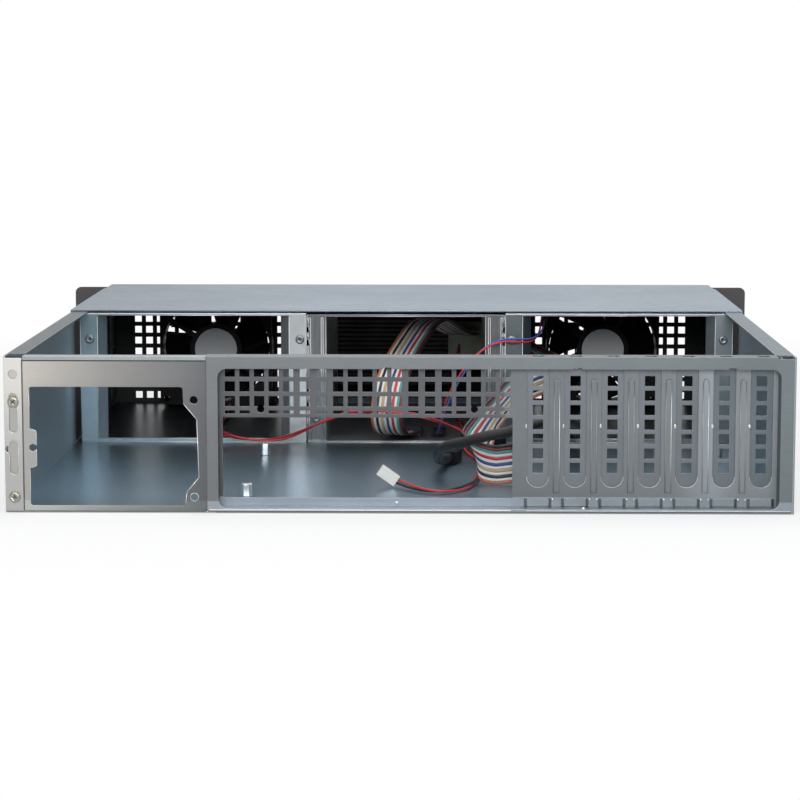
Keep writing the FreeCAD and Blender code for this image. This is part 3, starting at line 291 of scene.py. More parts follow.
def plate_with_painted_light(g):
    """The power supply's satin plate, with painted reflections: warm and pale at its left, grey at its right,
    paler towards its top and along its bottom, and bluish on its folded top edge, with a line of painted
    shade under the fold."""
    x, _, z = g.axes()
    # painted reflections: warm and pale at the left, grey at the right, paler towards the top
    share = g.along(x, [(-0.205, 0.0), (-0.160, 0.62), (-0.118, 0.9), (-0.106, 1.0)])
    low = g.mix(share, (0.38, 0.375, 0.355, 1), (0.112, 0.118, 0.124, 1))
    high = g.mix(share, (0.50, 0.475, 0.44, 1), (0.132, 0.139, 0.147, 1))
    tone = g.mix(g.along(z, [(0.055, 0.0), (0.075, 1.0)]), low, high)
    # painted highlight: paler along the bottom edge
    tone = g.mix(g.below(z, 0.0068), tone, g.mix(1.0, tone, (1.25, 1.32, 1.28, 1), "MULTIPLY"))
    # painted reflection: bluish on the folded top edge
    tone = g.mix(g.above(z, 0.0838), tone, (0.30, 0.33, 0.34, 1))
    # painted shade: a dark line in the crease under the fold
    return g.mix(g.within(z, plate_fold_low, plate_fold_high, 0.0001), tone, (0.02, 0.02, 0.02, 1))


def frame_with_painted_light(g):
    """The rear frame, with painted reflections: neutral on its post, paler and blue on its bottom lip."""
    x, _, z = g.axes()
    tone = g.mix(g.along(x, [(-0.1, 0.0), (0.2, 1.0)]), (0.155, 0.165, 0.174, 1), (0.140, 0.163, 0.173, 1))
    # painted reflection: the bottom lip is paler and blue
    lip = g.mix(g.along(x, [(0.06, 0.0), (0.08, 1.0)]), (0.275, 0.305, 0.325, 1), (0.235, 0.275, 0.31, 1))
    return g.mix(g.below(z, 0.0066), tone, lip)


def panel_with_painted_light(g):
    """The recessed panel: painted shade round the vents, where the frame shades the recess, painted
    reflections in light and dark bands among the slots, and painted light that makes its bottom lip paler.
    """
    x, _, z = g.axes()
    # painted reflections: light and dark bands among the slots
    bands = g.along(x, [(0.055, 0.72), (0.09, 0.75), (0.15, 0.85), (0.172, 1.3), (0.185, 1.0), (0.2, 1.05),
                        (0.21, 1.02)])
    grey = g.add("ShaderNodeCombineColor", {0: bands, 1: bands, 2: bands}).outputs[0]
    banded = g.mix(1.0, (0.19, 0.21, 0.225, 1), grey, "MULTIPLY")
    # painted shade round the vents, where the recess lies in the frame's shade
    shade = g.mix(g.along(z, [(0.049, 0.0), (0.054, 1.0)]),
                  (0.085, 0.088, 0.094, 1), (0.098, 0.102, 0.108, 1))
    tone = g.mix(g.below(x, port_end), banded, shade)
    # painted light: the bottom lip is paler
    low = g.mix(g.along(x, [(0.06, 0.0), (0.075, 1.0)]), (0.27, 0.31, 0.36, 1), (0.23, 0.26, 0.28, 1))
    return g.mix(g.below(z, 0.0076), tone, low)


def cover_with_painted_light(g):
    """The front cover, with a painted reflection: a little darker at its left."""
    x = g.axes()[0]
    # painted reflection: darker at the left
    return g.mix(g.along(x, [(-0.2, 0.0), (-0.05, 1.0)]), (0.122, 0.166, 0.215, 1), (0.209, 0.266, 0.328, 1))


def slot_with_painted_light(g):
    """The slot covers, with painted light: darker towards the right."""
    x = g.axes()[0]
    # painted light: darker towards the right
    share = g.along(x, [(0.07, 0.0), (0.15, 0.2), (0.2, 1.0)])
    return g.mix(share, (0.15, 0.165, 0.182, 1), (0.112, 0.135, 0.15, 1))


def bracket_with_painted_light(g):
    """The fan brackets, with painted light: blue at the left end and darker towards its top there, pale left
    of the cage, painted shade right of it, grey at the right end, and a painted highlight on the top rail."""
    x, _, z = g.axes()
    # painted light: blue at the left end, darker towards the top
    lit = g.mix(g.along(z, [(0.03, 0.0), (0.08, 1.0)]), (0.30, 0.385, 0.445, 1), (0.185, 0.25, 0.282, 1))
    side = g.mix(g.below(x, -0.11), (0.40, 0.415, 0.425, 1), lit)
    side = g.mix(g.above(x, 0.11), side, (0.25, 0.29, 0.31, 1))
    # painted shade right of the cage
    side = g.mix(g.within(x, 0.05, 0.11), side, (0.125, 0.148, 0.158, 1))
    # painted highlight on the top rail
    return g.mix(g.above(z, 0.0841), side, (0.62, 0.63, 0.65, 1))


def cage_with_painted_light(g):
    """The drive cage: painted reflections in dark and light streaks on its rear flanges, which are paler
    along their bottom, and the rest is pale.
    """
    _, y, z = g.axes()
    # painted reflections: dark and light streaks on the rear flanges, paler along their bottom
    streak = g.noise(g.stretched(420, 1, 14), 1.0, 3.0, 0.7)
    flange = g.mix(g.span(streak, 0.0, 1.0), (0.09, 0.095, 0.10, 1), (0.18, 0.186, 0.192, 1))
    flange = g.mix(g.below(z, 0.003), flange, (0.30, 0.31, 0.32, 1))
    return g.mix(g.above(y, 0.0335), flange, (0.42, 0.43, 0.45, 1))


base_metal = metal("base_sheet", base_with_painted_light, 0.31, 0.9, grain=(60, 4, 60), mottle=5.0, variation=0.04,
                   bump=0.006, polish=base_polish, uneven=0.3, wear_amount=0.9, flecks=0.15)
bracket_metal = metal("bracket_sheet", bracket_with_painted_light, 0.34, 0.85, grain=(90, 90, 10), mottle=14.0,
                      variation=0.07)
cage_metal = metal("cage_sheet", cage_with_painted_light, 0.34, 0.85, grain=(90, 90, 10), mottle=14.0, variation=0.07)
cover_metal = metal("cover_sheet", cover_with_painted_light, 0.36, 0.86, grain=(14, 90, 90), mottle=8.0, variation=0.05)
frame_metal = metal("frame_sheet", frame_with_painted_light, 0.4, 0.85, grain=(16, 70, 90), mottle=20.0, variation=0.08)
panel_metal = metal("panel_sheet", panel_with_painted_light, 0.4, 0.85, grain=(70, 70, 16), mottle=20.0, variation=0.08)
satin = metal("satin_plate", plate_with_painted_light, 0.34, 0.85, grain=(16, 70, 90), mottle=16.0, variation=0.06,
              wear=(0.85, 0.84, 0.8))
slot_metal = metal("slot_cover_sheet", slot_with_painted_light, 0.38, 0.85, grain=(90, 90, 14), mottle=22.0)
# a bright metal for thin lines: bare cut edges, with painted highlights where edges catch the light
cut_and_highlit_edge_metal = metal("cut_and_highlit_edge", (0.80, 0.81, 0.82), 0.3, 0.8, grain=(200, 200, 200), mottle=200.0,
                   variation=0.1, edge_radius=0.0001)
bright = metal("bright_screw", (0.62, 0.63, 0.64), 0.24, 0.95, grain=(90, 90, 90), mottle=90.0,
               edge_radius=0.0002)
# painted shade: a dark metal inside screw recesses and threaded holes, which also draws the dark seams
# between parts
recess_dark = metal("screw_recess", (0.10, 0.10, 0.11), 0.5, 0.8, mottle=120.0, edge_radius=0.0001)
nickel = metal("nickel_standoff", (0.86, 0.87, 0.88), 0.16, 0.95, grain=(90, 90, 6), mottle=160.0, bump=0.02,
               edge_radius=0.0003, wear=(0.95, 0.95, 0.95))
# painted highlights: a softer bright line along the beads' sides
soft_edge = metal("soft_edge", (0.36, 0.375, 0.39), 0.35, 0.85, grain=(200, 200, 200), mottle=200.0,
                  variation=0.1, edge_radius=0.0001)
dull_screw = metal("dull_screw", (0.24, 0.265, 0.28), 0.35, 0.9, grain=(90, 90, 90), mottle=90.0,
                   edge_radius=0.0002)
yellow_screw = metal("yellow_screw", (0.37, 0.36, 0.29), 0.3, 0.9, grain=(90, 90, 90), mottle=90.0,
                     edge_radius=0.0002)
black_coat = plastic("black_coat", (0.045, 0.04, 0.042), 0.5, 700.0, 0.12, wear=(0.14, 0.13, 0.13))
inner_black = plastic("inner_black", (0.009, 0.011, 0.013), 0.55, 700.0, 0.12, wear=(0.05, 0.05, 0.052),
                      specular=0.3)
black_mould = plastic("black_mould", (0.007, 0.007, 0.008), 0.55, 1100.0, 0.06, wear=(0.02, 0.02, 0.023),
                      specular=0.2)
fan_black = plastic("fan_black", (0.004, 0.004, 0.005), 0.5, 800.0, 0.05, wear=(0.012, 0.012, 0.014),
                    specular=0.14)
# black plastic made darker still, as painted shade in the mouth of the drive cage
bezel_black_and_shade = plastic("bezel_black_and_shade", (0.002, 0.002, 0.0025), 0.65, 1100.0, 0.06, wear=(0.006, 0.006, 0.007),
                      specular=0.06)
label_film = plastic("label_film", (0.74, 0.75, 0.77), 0.42, 500.0, 0.03, variation=0.05,
                     wear=(0.6, 0.62, 0.63))
nylon = plastic("white_nylon", (0.80, 0.79, 0.74), 0.38, 600.0, 0.05, variation=0.05, wear=(0.92, 0.91, 0.88))
plug_dark = plastic("dark_plug", (0.045, 0.035, 0.06), 0.4, 600.0, 0.05, wear=(0.14, 0.12, 0.17))
lens = plastic("led_lens", (0.62, 0.64, 0.62), 0.18, 300.0, 0.02, variation=0.04)
sleeve = braid("sleeve_braid", (0.006, 0.0055, 0.0055))
board = circuit("board_mask")
wire_colors = {
    "black": (0.02, 0.02, 0.022), "maroon": (0.20, 0.03, 0.035), "teal": (0.08, 0.30, 0.30),
    "white": (0.72, 0.72, 0.70), "red": (0.50, 0.035, 0.04), "navy": (0.04, 0.06, 0.22),
    "tan": (0.50, 0.36, 0.18), "orange": (0.50, 0.14, 0.06), "grey": (0.30, 0.31, 0.33),
    "red_dark": (0.30, 0.02, 0.03), "blue": (0.05, 0.10, 0.36),
}
wire_materials = {key: plastic("wire_" + key, color, 0.36, 400.0, 0.04, variation=0.1)
                  for key, color in wire_colors.items()}

# the finish of each material slot, and of the nodes that look different from the rest of their slot
slot_material = {
    "zinc_steel": frame_metal, "satin_steel": satin, "cover_steel": slot_metal, "screw_steel": bright,
    "brass_standoff": nickel, "black_panel": black_coat, "black_plastic": black_mould,
    "label_grey": label_film, "circuit_board": board, "led_lens": lens,
    "lead_red_black": wire_materials["red"], "ribbon_rainbow": wire_materials["grey"],
    "cable_sleeve": sleeve, "white_nylon": nylon, "dark_connector": plug_dark,
}
special = {
    "io_slot_panel": panel_metal, "front_cover": cover_metal, "chassis_base": base_metal,
    "fan_bracket_left": bracket_metal, "fan_bracket_right": bracket_metal, "drive_cage": cage_metal,
    "bay_bezel": bezel_black_and_shade, "front_panel": inner_black, "fan_plug_left": black_mould,
    "fan_plug_right": black_mould, "fan_frame_left": fan_black, "fan_frame_right": fan_black,
    "fan_rotor_left": fan_black, "fan_rotor_right": fan_black,
}
for entry in frame["record"]["subparts"]:
    thing = nodes[entry["node"]]
    finish = special.get(entry["node"], slot_material[entry["material_slot"]])
    thing.data.materials.clear()
    thing.data.materials.append(finish)


# ---- mesh helpers ----
def make_piece(name, verts, faces, materials, slots=None, smooth=True, body="case"):
    mesh = bpy.data.meshes.new(name)
    mesh.from_pydata([tuple(v) for v in verts], [], faces)
    for material in materials:
        mesh.materials.append(material)
    if slots:
        mesh.polygons.foreach_set("material_index", slots)
    mesh.polygons.foreach_set("use_smooth", [smooth] * len(mesh.polygons))
    mesh.update()
    piece = bpy.data.objects.new(name, mesh)
    scene.collection.objects.link(piece)
    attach(piece, body)
    return piece


class Builder:
    """Collects vertices and faces of one piece."""

    def __init__(self):
        self.verts = []
        self.faces = []
        self.slots = []

    def ring(self, centre, u, v, radius, count, squash=1.0):
        start = len(self.verts)
        for i in range(count):
            a = 2 * math.pi * i / count
            self.verts.append(centre + u * (radius * math.cos(a)) + v * (radius * squash * math.sin(a)))
        return list(range(start, start + count))

    def bridge(self, a, b, slot=0):
        count = len(a)
        for i in range(count):
            j = (i + 1) % count
            self.faces.append((a[i], a[j], b[j], b[i]))
            self.slots.append(slot)

    def cap(self, ring, slot=0, flip=False):
        self.faces.append(tuple(reversed(ring)) if flip else tuple(ring))
        self.slots.append(slot)

    def lathe(self, origin, axis, profile, count, slot=0):
        """A turned form: profile is (radius, distance along the axis) pairs."""
        u, v = across(axis)
        rings = [self.ring(origin + axis * height, u, v, radius, count) for radius, height in profile]
        for a, b in zip(rings, rings[1:]):
            self.bridge(a, b, slot)
        self.cap(rings[0], slot, True)
        self.cap(rings[-1], slot)

    def tube(self, line, frames, offsets, radius, count, slot=0, squash=1.0):
        """A strand beside a line: offsets are the side and up distances at each point."""
        rings = []
        for point, (side, up), (a, b) in zip(line, frames, offsets):
            rings.append(self.ring(point + side * a + up * b, side, up, radius, count, squash))
        for a, b in zip(rings, rings[1:]):
            self.bridge(a, b, slot)
        self.cap(rings[0], slot, True)
        self.cap(rings[-1], slot)

    def box(self, low, high):
        """A plain bar between two corners."""
        x0, y0, z0 = low
        x1, y1, z1 = high
        start = len(self.verts)
        for z in (z0, z1):
            self.verts += [Vector((x, y, z)) for x, y in ((x0, y0), (x1, y0), (x1, y1), (x0, y1))]
        lower = list(range(start, start + 4))
        upper = list(range(start + 4, start + 8))
        self.bridge(lower, upper)
        self.cap(lower, flip=True)
        self.cap(upper)

    def piece(self, name, materials, smooth=True, body="case"):
        return make_piece(name, self.verts, self.faces, materials, self.slots, smooth, body)


def across(axis):
    """Two directions square to an axis."""
    side = Vector((0, 0, 1)) if abs(axis.z) < 0.9 else Vector((1, 0, 0))
    u = (side - axis * side.dot(axis)).normalized()
    return u, axis.cross(u)


# the rear face and the recessed panel's face lie this far behind the CAD frame's origin, in mm
rear_face = 230.0
panel_face = 220.0


def centreline(name, route):
    """The smooth line of a cord, read from the spline that its route shapes.

    The route's points are x, the distance from the rear face, and z, in mm.
    """
    curve = bpy.data.curves.new(name + "_line", "CURVE")
    curve.dimensions = "3D"
    curve.resolution_u = 10
    spline = curve.splines.new("NURBS")
    spline.points.add(len(route) - 1)
    for point, (x, distance, z) in zip(spline.points, route):
        point.co = (x / 1000, (distance - rear_face) / 1000, z / 1000, 1.0)
    spline.order_u = 3
    spline.use_endpoint_u = True
    holder = bpy.data.objects.new(name + "_line", curve)
    mesh = bpy.data.meshes.new_from_object(holder)
    line = [v.co.copy() for v in mesh.vertices]
    bpy.data.objects.remove(holder)
    return line


def directions(line):
    return [(line[min(i + 1, len(line) - 1)] - line[max(i - 1, 0)]).normalized() for i in range(len(line))]


def carried_frames(line, twist_pitch=None):
    """Frames carried along a line without turning, with an optional twist."""
    ways = directions(line)
    side, up = across(ways[0])
    frames = []
    gone = 0.0
    for i, way in enumerate(ways):
        side = (side - way * side.dot(way)).normalized()
        up = way.cross(side)
        if i:
            gone += (line[i] - line[i - 1]).length
        turn = 2 * math.pi * gone / twist_pitch if twist_pitch else 0.0
        c, s = math.cos(turn), math.sin(turn)
        frames.append((side * c + up * s, up * c - side * s))
    return frames


def fixed_frames(line, side):
    """Frames whose side direction stays put, for a ribbon in one plane."""
    frames = []
    for way in directions(line):
        across_way = (side - way * side.dot(way)).normalized()
        frames.append((across_way, way.cross(across_way)))
    return frames


# ---- fasteners: the screws in the rear view get domed heads with a cross recess ----
def loose_parts(mesh):
    """The separate solids of a node, as lists of points."""
    parent = list(range(len(mesh.vertices)))

    def root(i):
        while parent[i] != i:
            parent[i] = parent[parent[i]]
            i = parent[i]
        return i

    keys = {}
    for v in mesh.vertices:
        key = tuple(round(c, 6) for c in v.co)
        parent[root(v.index)] = root(keys.setdefault(key, v.index))
    for edge in mesh.edges:
        parent[root(edge.vertices[0])] = root(edge.vertices[1])
    groups = {}
    for v in mesh.vertices:
        groups.setdefault(root(v.index), []).append(v.co.copy())
    return list(groups.values())


def extent(points, way):
    """The least and the greatest reach of points along a direction."""
    reach = [p.dot(way) for p in points]
    return min(reach), max(reach)


def screw_heads(name, axis, finish):
    """A turned pan head with a cross recess over each plain screw of a node."""
    axis = Vector(axis)
    u, v = across(axis)
    builder = Builder()
    rng = random.Random(name)
    for points in loose_parts(nodes[name].data):
        near, far = extent(points, axis)
        left, right = extent(points, u)
        bottom, top = extent(points, v)
        wide = (right - left) / 2
        centre = u * ((left + right) / 2) + v * ((bottom + top) / 2)
        head = [p for p in points if (p - centre).cross(axis).length > wide * 0.9]
        seat = extent(head, axis)[0]
        turn = rng.uniform(0, math.pi / 2)
        a = u * math.cos(turn) + v * math.sin(turn)
        cross_head(builder, centre + axis * seat, axis, a, axis.cross(a), wide, far - seat)
        shank = wide * 0.45
        builder.lathe(centre + axis * near, axis,
                      [(shank * 0.7, 0), (shank, 0.0008), (shank, seat - near)], 12)
    # the cross recess takes the painted shade of the dark recess metal
    piece = builder.piece(name + "_turned", [finish, recess_dark])
    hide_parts(name)


def cross_head(builder, origin, axis, a, b, radius, height):
    """A pan head: a dome of rings with a four-armed recess sunk in its top."""
    arm = radius * 0.56
    half = radius * 0.13
    outline = []
    for c, s in ((1, 0), (0, 1), (-1, 0), (0, -1)):
        out = Vector((c, s, 0))
        side = Vector((-s, c, 0))
        outline += [out * arm - side * half * 0.7, out * arm + side * half * 0.7,
                    out * half * 1.25 + side * half * 1.25]
    count = len(outline)

    def placed(p, z):
        return origin + a * p.x + b * p.y + axis * z

    rings = []
    for factor, rise in ((1.0, 0.0), (1.0, 0.45), (0.94, 0.75), (0.8, 0.93), (0.68, 1.0)):
        ring = []
        for p in outline:
            angle = math.atan2(p.y, p.x)
            ring.append(len(builder.verts))
            point = Vector((math.cos(angle), math.sin(angle), 0)) * radius * factor
            builder.verts.append(placed(point, height * rise))
        rings.append(ring)
    builder.cap(rings[0], 0, True)
    for low, high in zip(rings, rings[1:]):
        builder.bridge(low, high, 0)
    lip = [len(builder.verts) + i for i in range(count)]
    builder.verts += [placed(p, height) for p in outline]
    builder.bridge(rings[-1], lip, 0)
    floor_ring = [len(builder.verts) + i for i in range(count)]
    builder.verts += [placed(p * 0.6, height * 0.35) for p in outline]
    builder.bridge(lip, floor_ring, 1)
    builder.cap(floor_ring, 1)


screw_heads("rear_strip_screws", (0, -1, 0), yellow_screw)
screw_heads("slot_cover_screws", (0, 0, 1), bright)
screw_heads("fan_bracket_screws", (0, -1, 0), dull_screw)
screw_heads("drive_cage_screws", (0, -1, 0), dull_screw)


# ---- board standoffs: turned hex posts with a threaded hole ----
hole_mouth = 0.0017
thread_crest, thread_root = 0.0015, 0.0013
thread_start, thread_step = 0.0004, 0.0003


def hex_standoffs():
    builder = Builder()
    east, north, axis = Vector((1, 0, 0)), Vector((0, 1, 0)), Vector((0, 0, 1))
    for points in loose_parts(nodes["standoffs"].data):
        low, high = extent(points, axis)
        left, right = extent(points, east)
        back, front = extent(points, north)
        origin = Vector(((left + right) / 2, (back + front) / 2, low))
        wide = max((p - origin).cross(axis).length for p in points)
        tall = high - low
        levels = ((0.9, 0.0), (1.0, 0.0004), (1.0, tall - 0.0006), (0.86, tall))
        rings = [builder.ring(origin + axis * h, east, north, wide * f, 6) for f, h in levels]
        for a, b in zip(rings, rings[1:]):
            builder.bridge(a, b)
        builder.cap(rings[0], 0, True)
        rim = builder.ring(origin + axis * tall, east, north, hole_mouth, 12)
        outer = rings[-1]
        for i in range(6):
            j = (i + 1) % 6
            builder.faces.append((outer[i], outer[j], rim[(2 * i + 2) % 12], rim[2 * i + 1], rim[2 * i]))
            builder.slots.append(0)
        thread = [rim]
        for k in range(10):
            size = thread_crest if k % 2 == 0 else thread_root
            level = tall - thread_start - thread_step * k
            thread.append(builder.ring(origin + axis * level, east, north, size, 12))
        for a, b in zip(thread, thread[1:]):
            builder.bridge(a, b, 1)
        builder.cap(thread[-1], 1)
    # the threaded hole takes the painted shade of the dark recess metal
    piece = builder.piece("standoffs_turned", [nickel, recess_dark], smooth=False)
    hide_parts("standoffs")


hex_standoffs()


# ---- fan rotors: a hollow hub cup on a shaft, with broad twisted blades that nearly overlap ----
fan_height = 0.0425
hub_radius = 0.0180
hub_inner_radius = 0.0164
hub_bore_radius = 0.0016
hub_rear, hub_front = 0.2086, 0.2290
hub_cap_inside = 0.2270
shaft = [(0.0015, 0.2080), (0.0015, 0.2275)]
blade_count = 7
blade_root, blade_tip = 0.0174, 0.0372
chord_root, chord_tip = 0.0225, 0.0375
pitch_root, pitch_fall = 48, 17.5
blade_sweep = math.radians(11)
blade_middle = 0.21885
blade_camber = 0.0016
blade_steps = 9


def fan_rotor(name, body, centre_x, start):
    """A rotor whose first blade stands at the angle start, in radians."""
    builder = Builder()
    axis = Vector((0, 1, 0))
    origin = Vector((centre_x, 0.0, fan_height))
    cup = [(hub_bore_radius, hub_cap_inside), (hub_inner_radius, hub_cap_inside),
           (hub_inner_radius, hub_rear), (hub_radius, hub_rear), (hub_radius, hub_front - 0.0014),
           (hub_radius - 0.0008, hub_front - 0.0004), (hub_radius - 0.0022, hub_front),
           (hub_bore_radius, hub_front)]
    builder.lathe(origin, axis, cup, 48)
    builder.lathe(origin, axis, shaft, 12)
    for blade in range(blade_count):
        rows = []
        for i in range(blade_steps):
            share = i / (blade_steps - 1)
            radius = blade_root + (blade_tip - blade_root) * share
            chord = chord_root + (chord_tip - chord_root) * share
            pitch = math.radians(pitch_root - pitch_fall * share)
            middle = start + 2 * math.pi * blade / blade_count + blade_sweep * share
            upper = []
            lower = []
            for j in range(blade_steps):
                t = j / (blade_steps - 1) - 0.5
                angle = middle + t * chord * math.cos(pitch) / radius
                rise = blade_middle + t * chord * math.sin(pitch) * 0.96 + blade_camber * (1 - 4 * t * t)
                half = 0.0006 * (1 - (2 * t) ** 4) + 0.0001
                for row, height in ((upper, rise + half), (lower, rise - half)):
                    row.append(len(builder.verts))
                    place = Vector((radius * math.cos(angle), height, radius * math.sin(angle)))
                    builder.verts.append(origin + place)
            rows.append(upper + lower[::-1])
        for a, b in zip(rows, rows[1:]):
            builder.bridge(a, b)
        builder.cap(rows[0], 0, True)
        builder.cap(rows[-1])
    piece = builder.piece(name + "_bladed", [fan_black], body=body)
    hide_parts(name)


fan_rotor("fan_rotor_left", "left_fan_rotor", -0.138, 0.35)
fan_rotor("fan_rotor_right", "right_fan_rotor", 0.138, 0.10)


# ---- small things on the sheets: bright cut edges with painted highlights, seams, dimples and rivets ----
# an edge gets a line where the faces beside it differ by this many degrees or more
least_fold = 35.0


def bright_edge_lines(name, node_name, low, high, radius, finish):
    """Thin bright lines along the sharp edges of a sheet, where the edges' middles lie inside a box: bare cut
    metal with painted highlights where the edges catch the light.
    """
    mesh = nodes[node_name].data
    around = {}
    for polygon in mesh.polygons:
        places = [tuple(round(c, 6) for c in mesh.vertices[i].co) for i in polygon.vertices]
        for a, b in zip(places, places[1:] + places[:1]):
            around.setdefault((min(a, b), max(a, b)), []).append(polygon.normal.copy())
    builder = Builder()
    for (a, b), normals in around.items():
        start, end = Vector(a), Vector(b)
        middle = (start + end) / 2
        inside = all(low[i] <= middle[i] <= high[i] for i in range(3))
        if not inside or len(normals) != 2 or math.degrees(normals[0].angle(normals[1], 0.0)) < least_fold:
            continue
        way = (end - start).normalized()
        u, v = across(way)
        ends = (start - way * radius * 0.3, end + way * radius * 0.3)
        rings = [builder.ring(point, u, v, radius, 6) for point in ends]
        builder.bridge(rings[0], rings[1])
        builder.cap(rings[0], 0, True)
        builder.cap(rings[1])
    return builder.piece(name, [finish])


# name, node, lowest and highest corner round the edges' middles, radius of the line and its finish
edge_lines = [
    ("plate_cut_and_highlit_edges", "psu_plate", (-0.190, -0.2301, 0.006), (-0.106, -0.2298, 0.060), 0.00022, cut_and_highlit_edge_metal),
    ("plate_left_edges", "psu_plate", (-0.204, -0.2301, 0.006), (-0.190, -0.2298, 0.066), 0.00013,
     cut_and_highlit_edge_metal),
    ("strip_slot_edges", "chassis_base", (-0.2140, -0.2302, 0.004), (-0.2055, -0.2298, 0.082), 0.00012,
     cut_and_highlit_edge_metal),
    ("slot_cut_and_highlit_edges", "io_slot_panel", (0.0675, -0.2204, 0.0085), (0.2060, -0.2186, 0.030), 0.00011,
     cut_and_highlit_edge_metal),
    # painted highlights along the beads' sides
    ("bead_edges", "io_slot_panel", (0.0840, -0.2212, 0.0125), (0.1900, -0.2206, 0.0730), 0.00018, soft_edge),
]
slot_pitch = 20.32
slot_places = [75.9 + slot_pitch * i for i in range(7)]
# a bead stands midway between two slots, and three of the beads catch the light: painted highlights on their
# right edges
lit_beads = [(slot_places[i] + slot_pitch / 2) / 1000 for i in (0, 3, 4)]
edge_lines += [
    ("bead_glint_%d" % number, "io_slot_panel", (x + 0.0010, -0.2212, 0.0125), (x + 0.0020, -0.2206, 0.0690),
     0.00022, cut_and_highlit_edge_metal) for number, x in enumerate(lit_beads, 1)
]
edge_lines += [
    ("bracket_edge_left", "fan_bracket_left", (-0.215, 0.0308, 0.0010), (-0.060, 0.0312, 0.0840), 0.00025,
     cut_and_highlit_edge_metal),
    ("bracket_edge_right", "fan_bracket_right", (0.060, 0.0308, 0.0010), (0.215, 0.0312, 0.0840), 0.00025,
     cut_and_highlit_edge_metal),
    ("cage_edge", "drive_cage", (-0.064, 0.0300, 0.0010), (0.064, 0.0312, 0.0860), 0.00022, cut_and_highlit_edge_metal),
]
for row in edge_lines:
    bright_edge_lines(*row)


def strips(name, boxes, finish):
    """Thin straight lines on the rear face: x0, z0, x1 and z1 in mm."""
    builder = Builder()
    for x0, z0, x1, z1 in boxes:
        builder.box((x0 / 1000, (-rear_face - 0.12) / 1000, z0 / 1000),
                    (x1 / 1000, (-rear_face + 0.1) / 1000, z1 / 1000))
    return builder.piece(name, [finish], smooth=False)


strips("dark_seams", [(-105.2, 1.2, -104.7, 84.0), (-205.25, 1.2, -204.8, 84.0), (-104.6, 0.7, 213.5, 1.15),
                      (-214.6, 0.5, -205.3, 0.9), (-204.8, 0.6, -105.3, 1.1)], recess_dark)
# painted highlights: bright lines along the bottom edge of the rear face
strips("bottom_edge_highlights", [(-103.6, 1.6, 61.0, 2.1), (69.5, 1.6, 213.0, 1.85)], cut_and_highlit_edge_metal)


def dimples(name, places, finish):
    """Low oval domes on a sheet: x, y, z, half width and half height in mm."""
    builder = Builder()
    for x, y, z, wide, tall in places:
        centre = Vector((x, y, z)) / 1000
        rings = []
        for k in range(5):
            turn = math.pi / 2 * k / 4.4
            lift = Vector((0, -math.sin(turn) * 0.45 * min(wide, tall) / 1000, 0))
            rings.append(builder.ring(centre + lift, Vector((1, 0, 0)), Vector((0, 0, 1)),
                                      wide / 1000 * math.cos(turn), 14, tall / wide))
        for a, b in zip(rings, rings[1:]):
            builder.bridge(a, b)
        builder.cap(rings[0], 0, True)
        builder.cap(rings[-1])
    return builder.piece(name, [finish])


# painted highlights: bright domes on small bumps at the slots' left edges and at the ends of the pockets
# along the bottom
dimples("slot_dimple_highlights",
        [(x - 6.5, -panel_face, 47.0, 0.45 + 0.08 * i, 1.3) for i, x in enumerate(slot_places)]
        + [(x + 8.2, -panel_face, 6.3, 0.6, 0.8) for x in slot_places[:-1]]
        + [(x - 8.2, -panel_face, 6.3, 0.5, 0.7) for x in slot_places[2:]], bright)
dimples("lip_rivet", [(-1.5, -panel_face, 4.2, 1.1, 1.1), (100.5, -rear_face, 2.9, 1.0, 0.9)], bright)


# ---- cords ----
# where along ribbon two its fold lies and how far the fold reaches, as shares of its points
fold_share = 0.79
fold_reach = 0.12
# how far two cords settle from their spline: share of its points, then x, y and z in mm
ribbon_settle = [(0.0, 0, 0, 0), (0.6, 0, 0, 0), (0.8, 0, 0, -2.4), (0.95, 0, 0, -3.0), (1.0, 0, 0, -1.2)]
cable_settle = [(0.0, 0, 0, 0), (0.5, 0, 0, 0), (0.64, 0, 0, -4.5), (0.75, 0, 0, -4.0), (0.86, 2.5, 0, 1.0),
                (0.93, 1.0, 0, 1.0), (1.0, 0, 0, 0)]


def bend_weight(share):
    """How far along a ribbon's fold a point lies: 1 at the fold and 0 away from it."""
    return max(0.0, 1 - abs(share - fold_share) / fold_reach)


def nudged(line, stops):
    """A line moved a little by offsets in mm, given at shares of its points."""
    moved = []
    for k, point in enumerate(line):
        share = k / (len(line) - 1)
        for (a, *low), (b, *high) in zip(stops, stops[1:]):
            if a <= share <= b:
                part = (share - a) / (b - a)
                moved.append(point + Vector([(p + (q - p) * part) / 1000 for p, q in zip(low, high)]))
                break
    return moved


def ribbon(name, route, side_of, colors, width, fold=0.0):
    """A ribbon cable: round wires side by side in their own colours.

    Fold is how far the outer wires move aside where the ribbon folds.
    """
    line = centreline(name, route)
    if fold:
        line = nudged(line, ribbon_settle)
    frames = side_of(line)
    pitch = width / len(colors)
    finishes = sorted(set(colors))
    builder = Builder()
    for i, color in enumerate(colors):
        offset = (i - (len(colors) - 1) / 2) * pitch
        wire = [point + Vector((-offset / width * 2 * fold * bend_weight(k / len(line)), 0, 0))
                for k, point in enumerate(line)]
        builder.tube(wire, frames, [(offset, 0.0)] * len(line), pitch * 0.54, 8, finishes.index(color),
                     squash=0.85)
    piece = builder.piece(name + "_wires", [wire_materials[c] for c in finishes])
    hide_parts(name)
    return piece, line


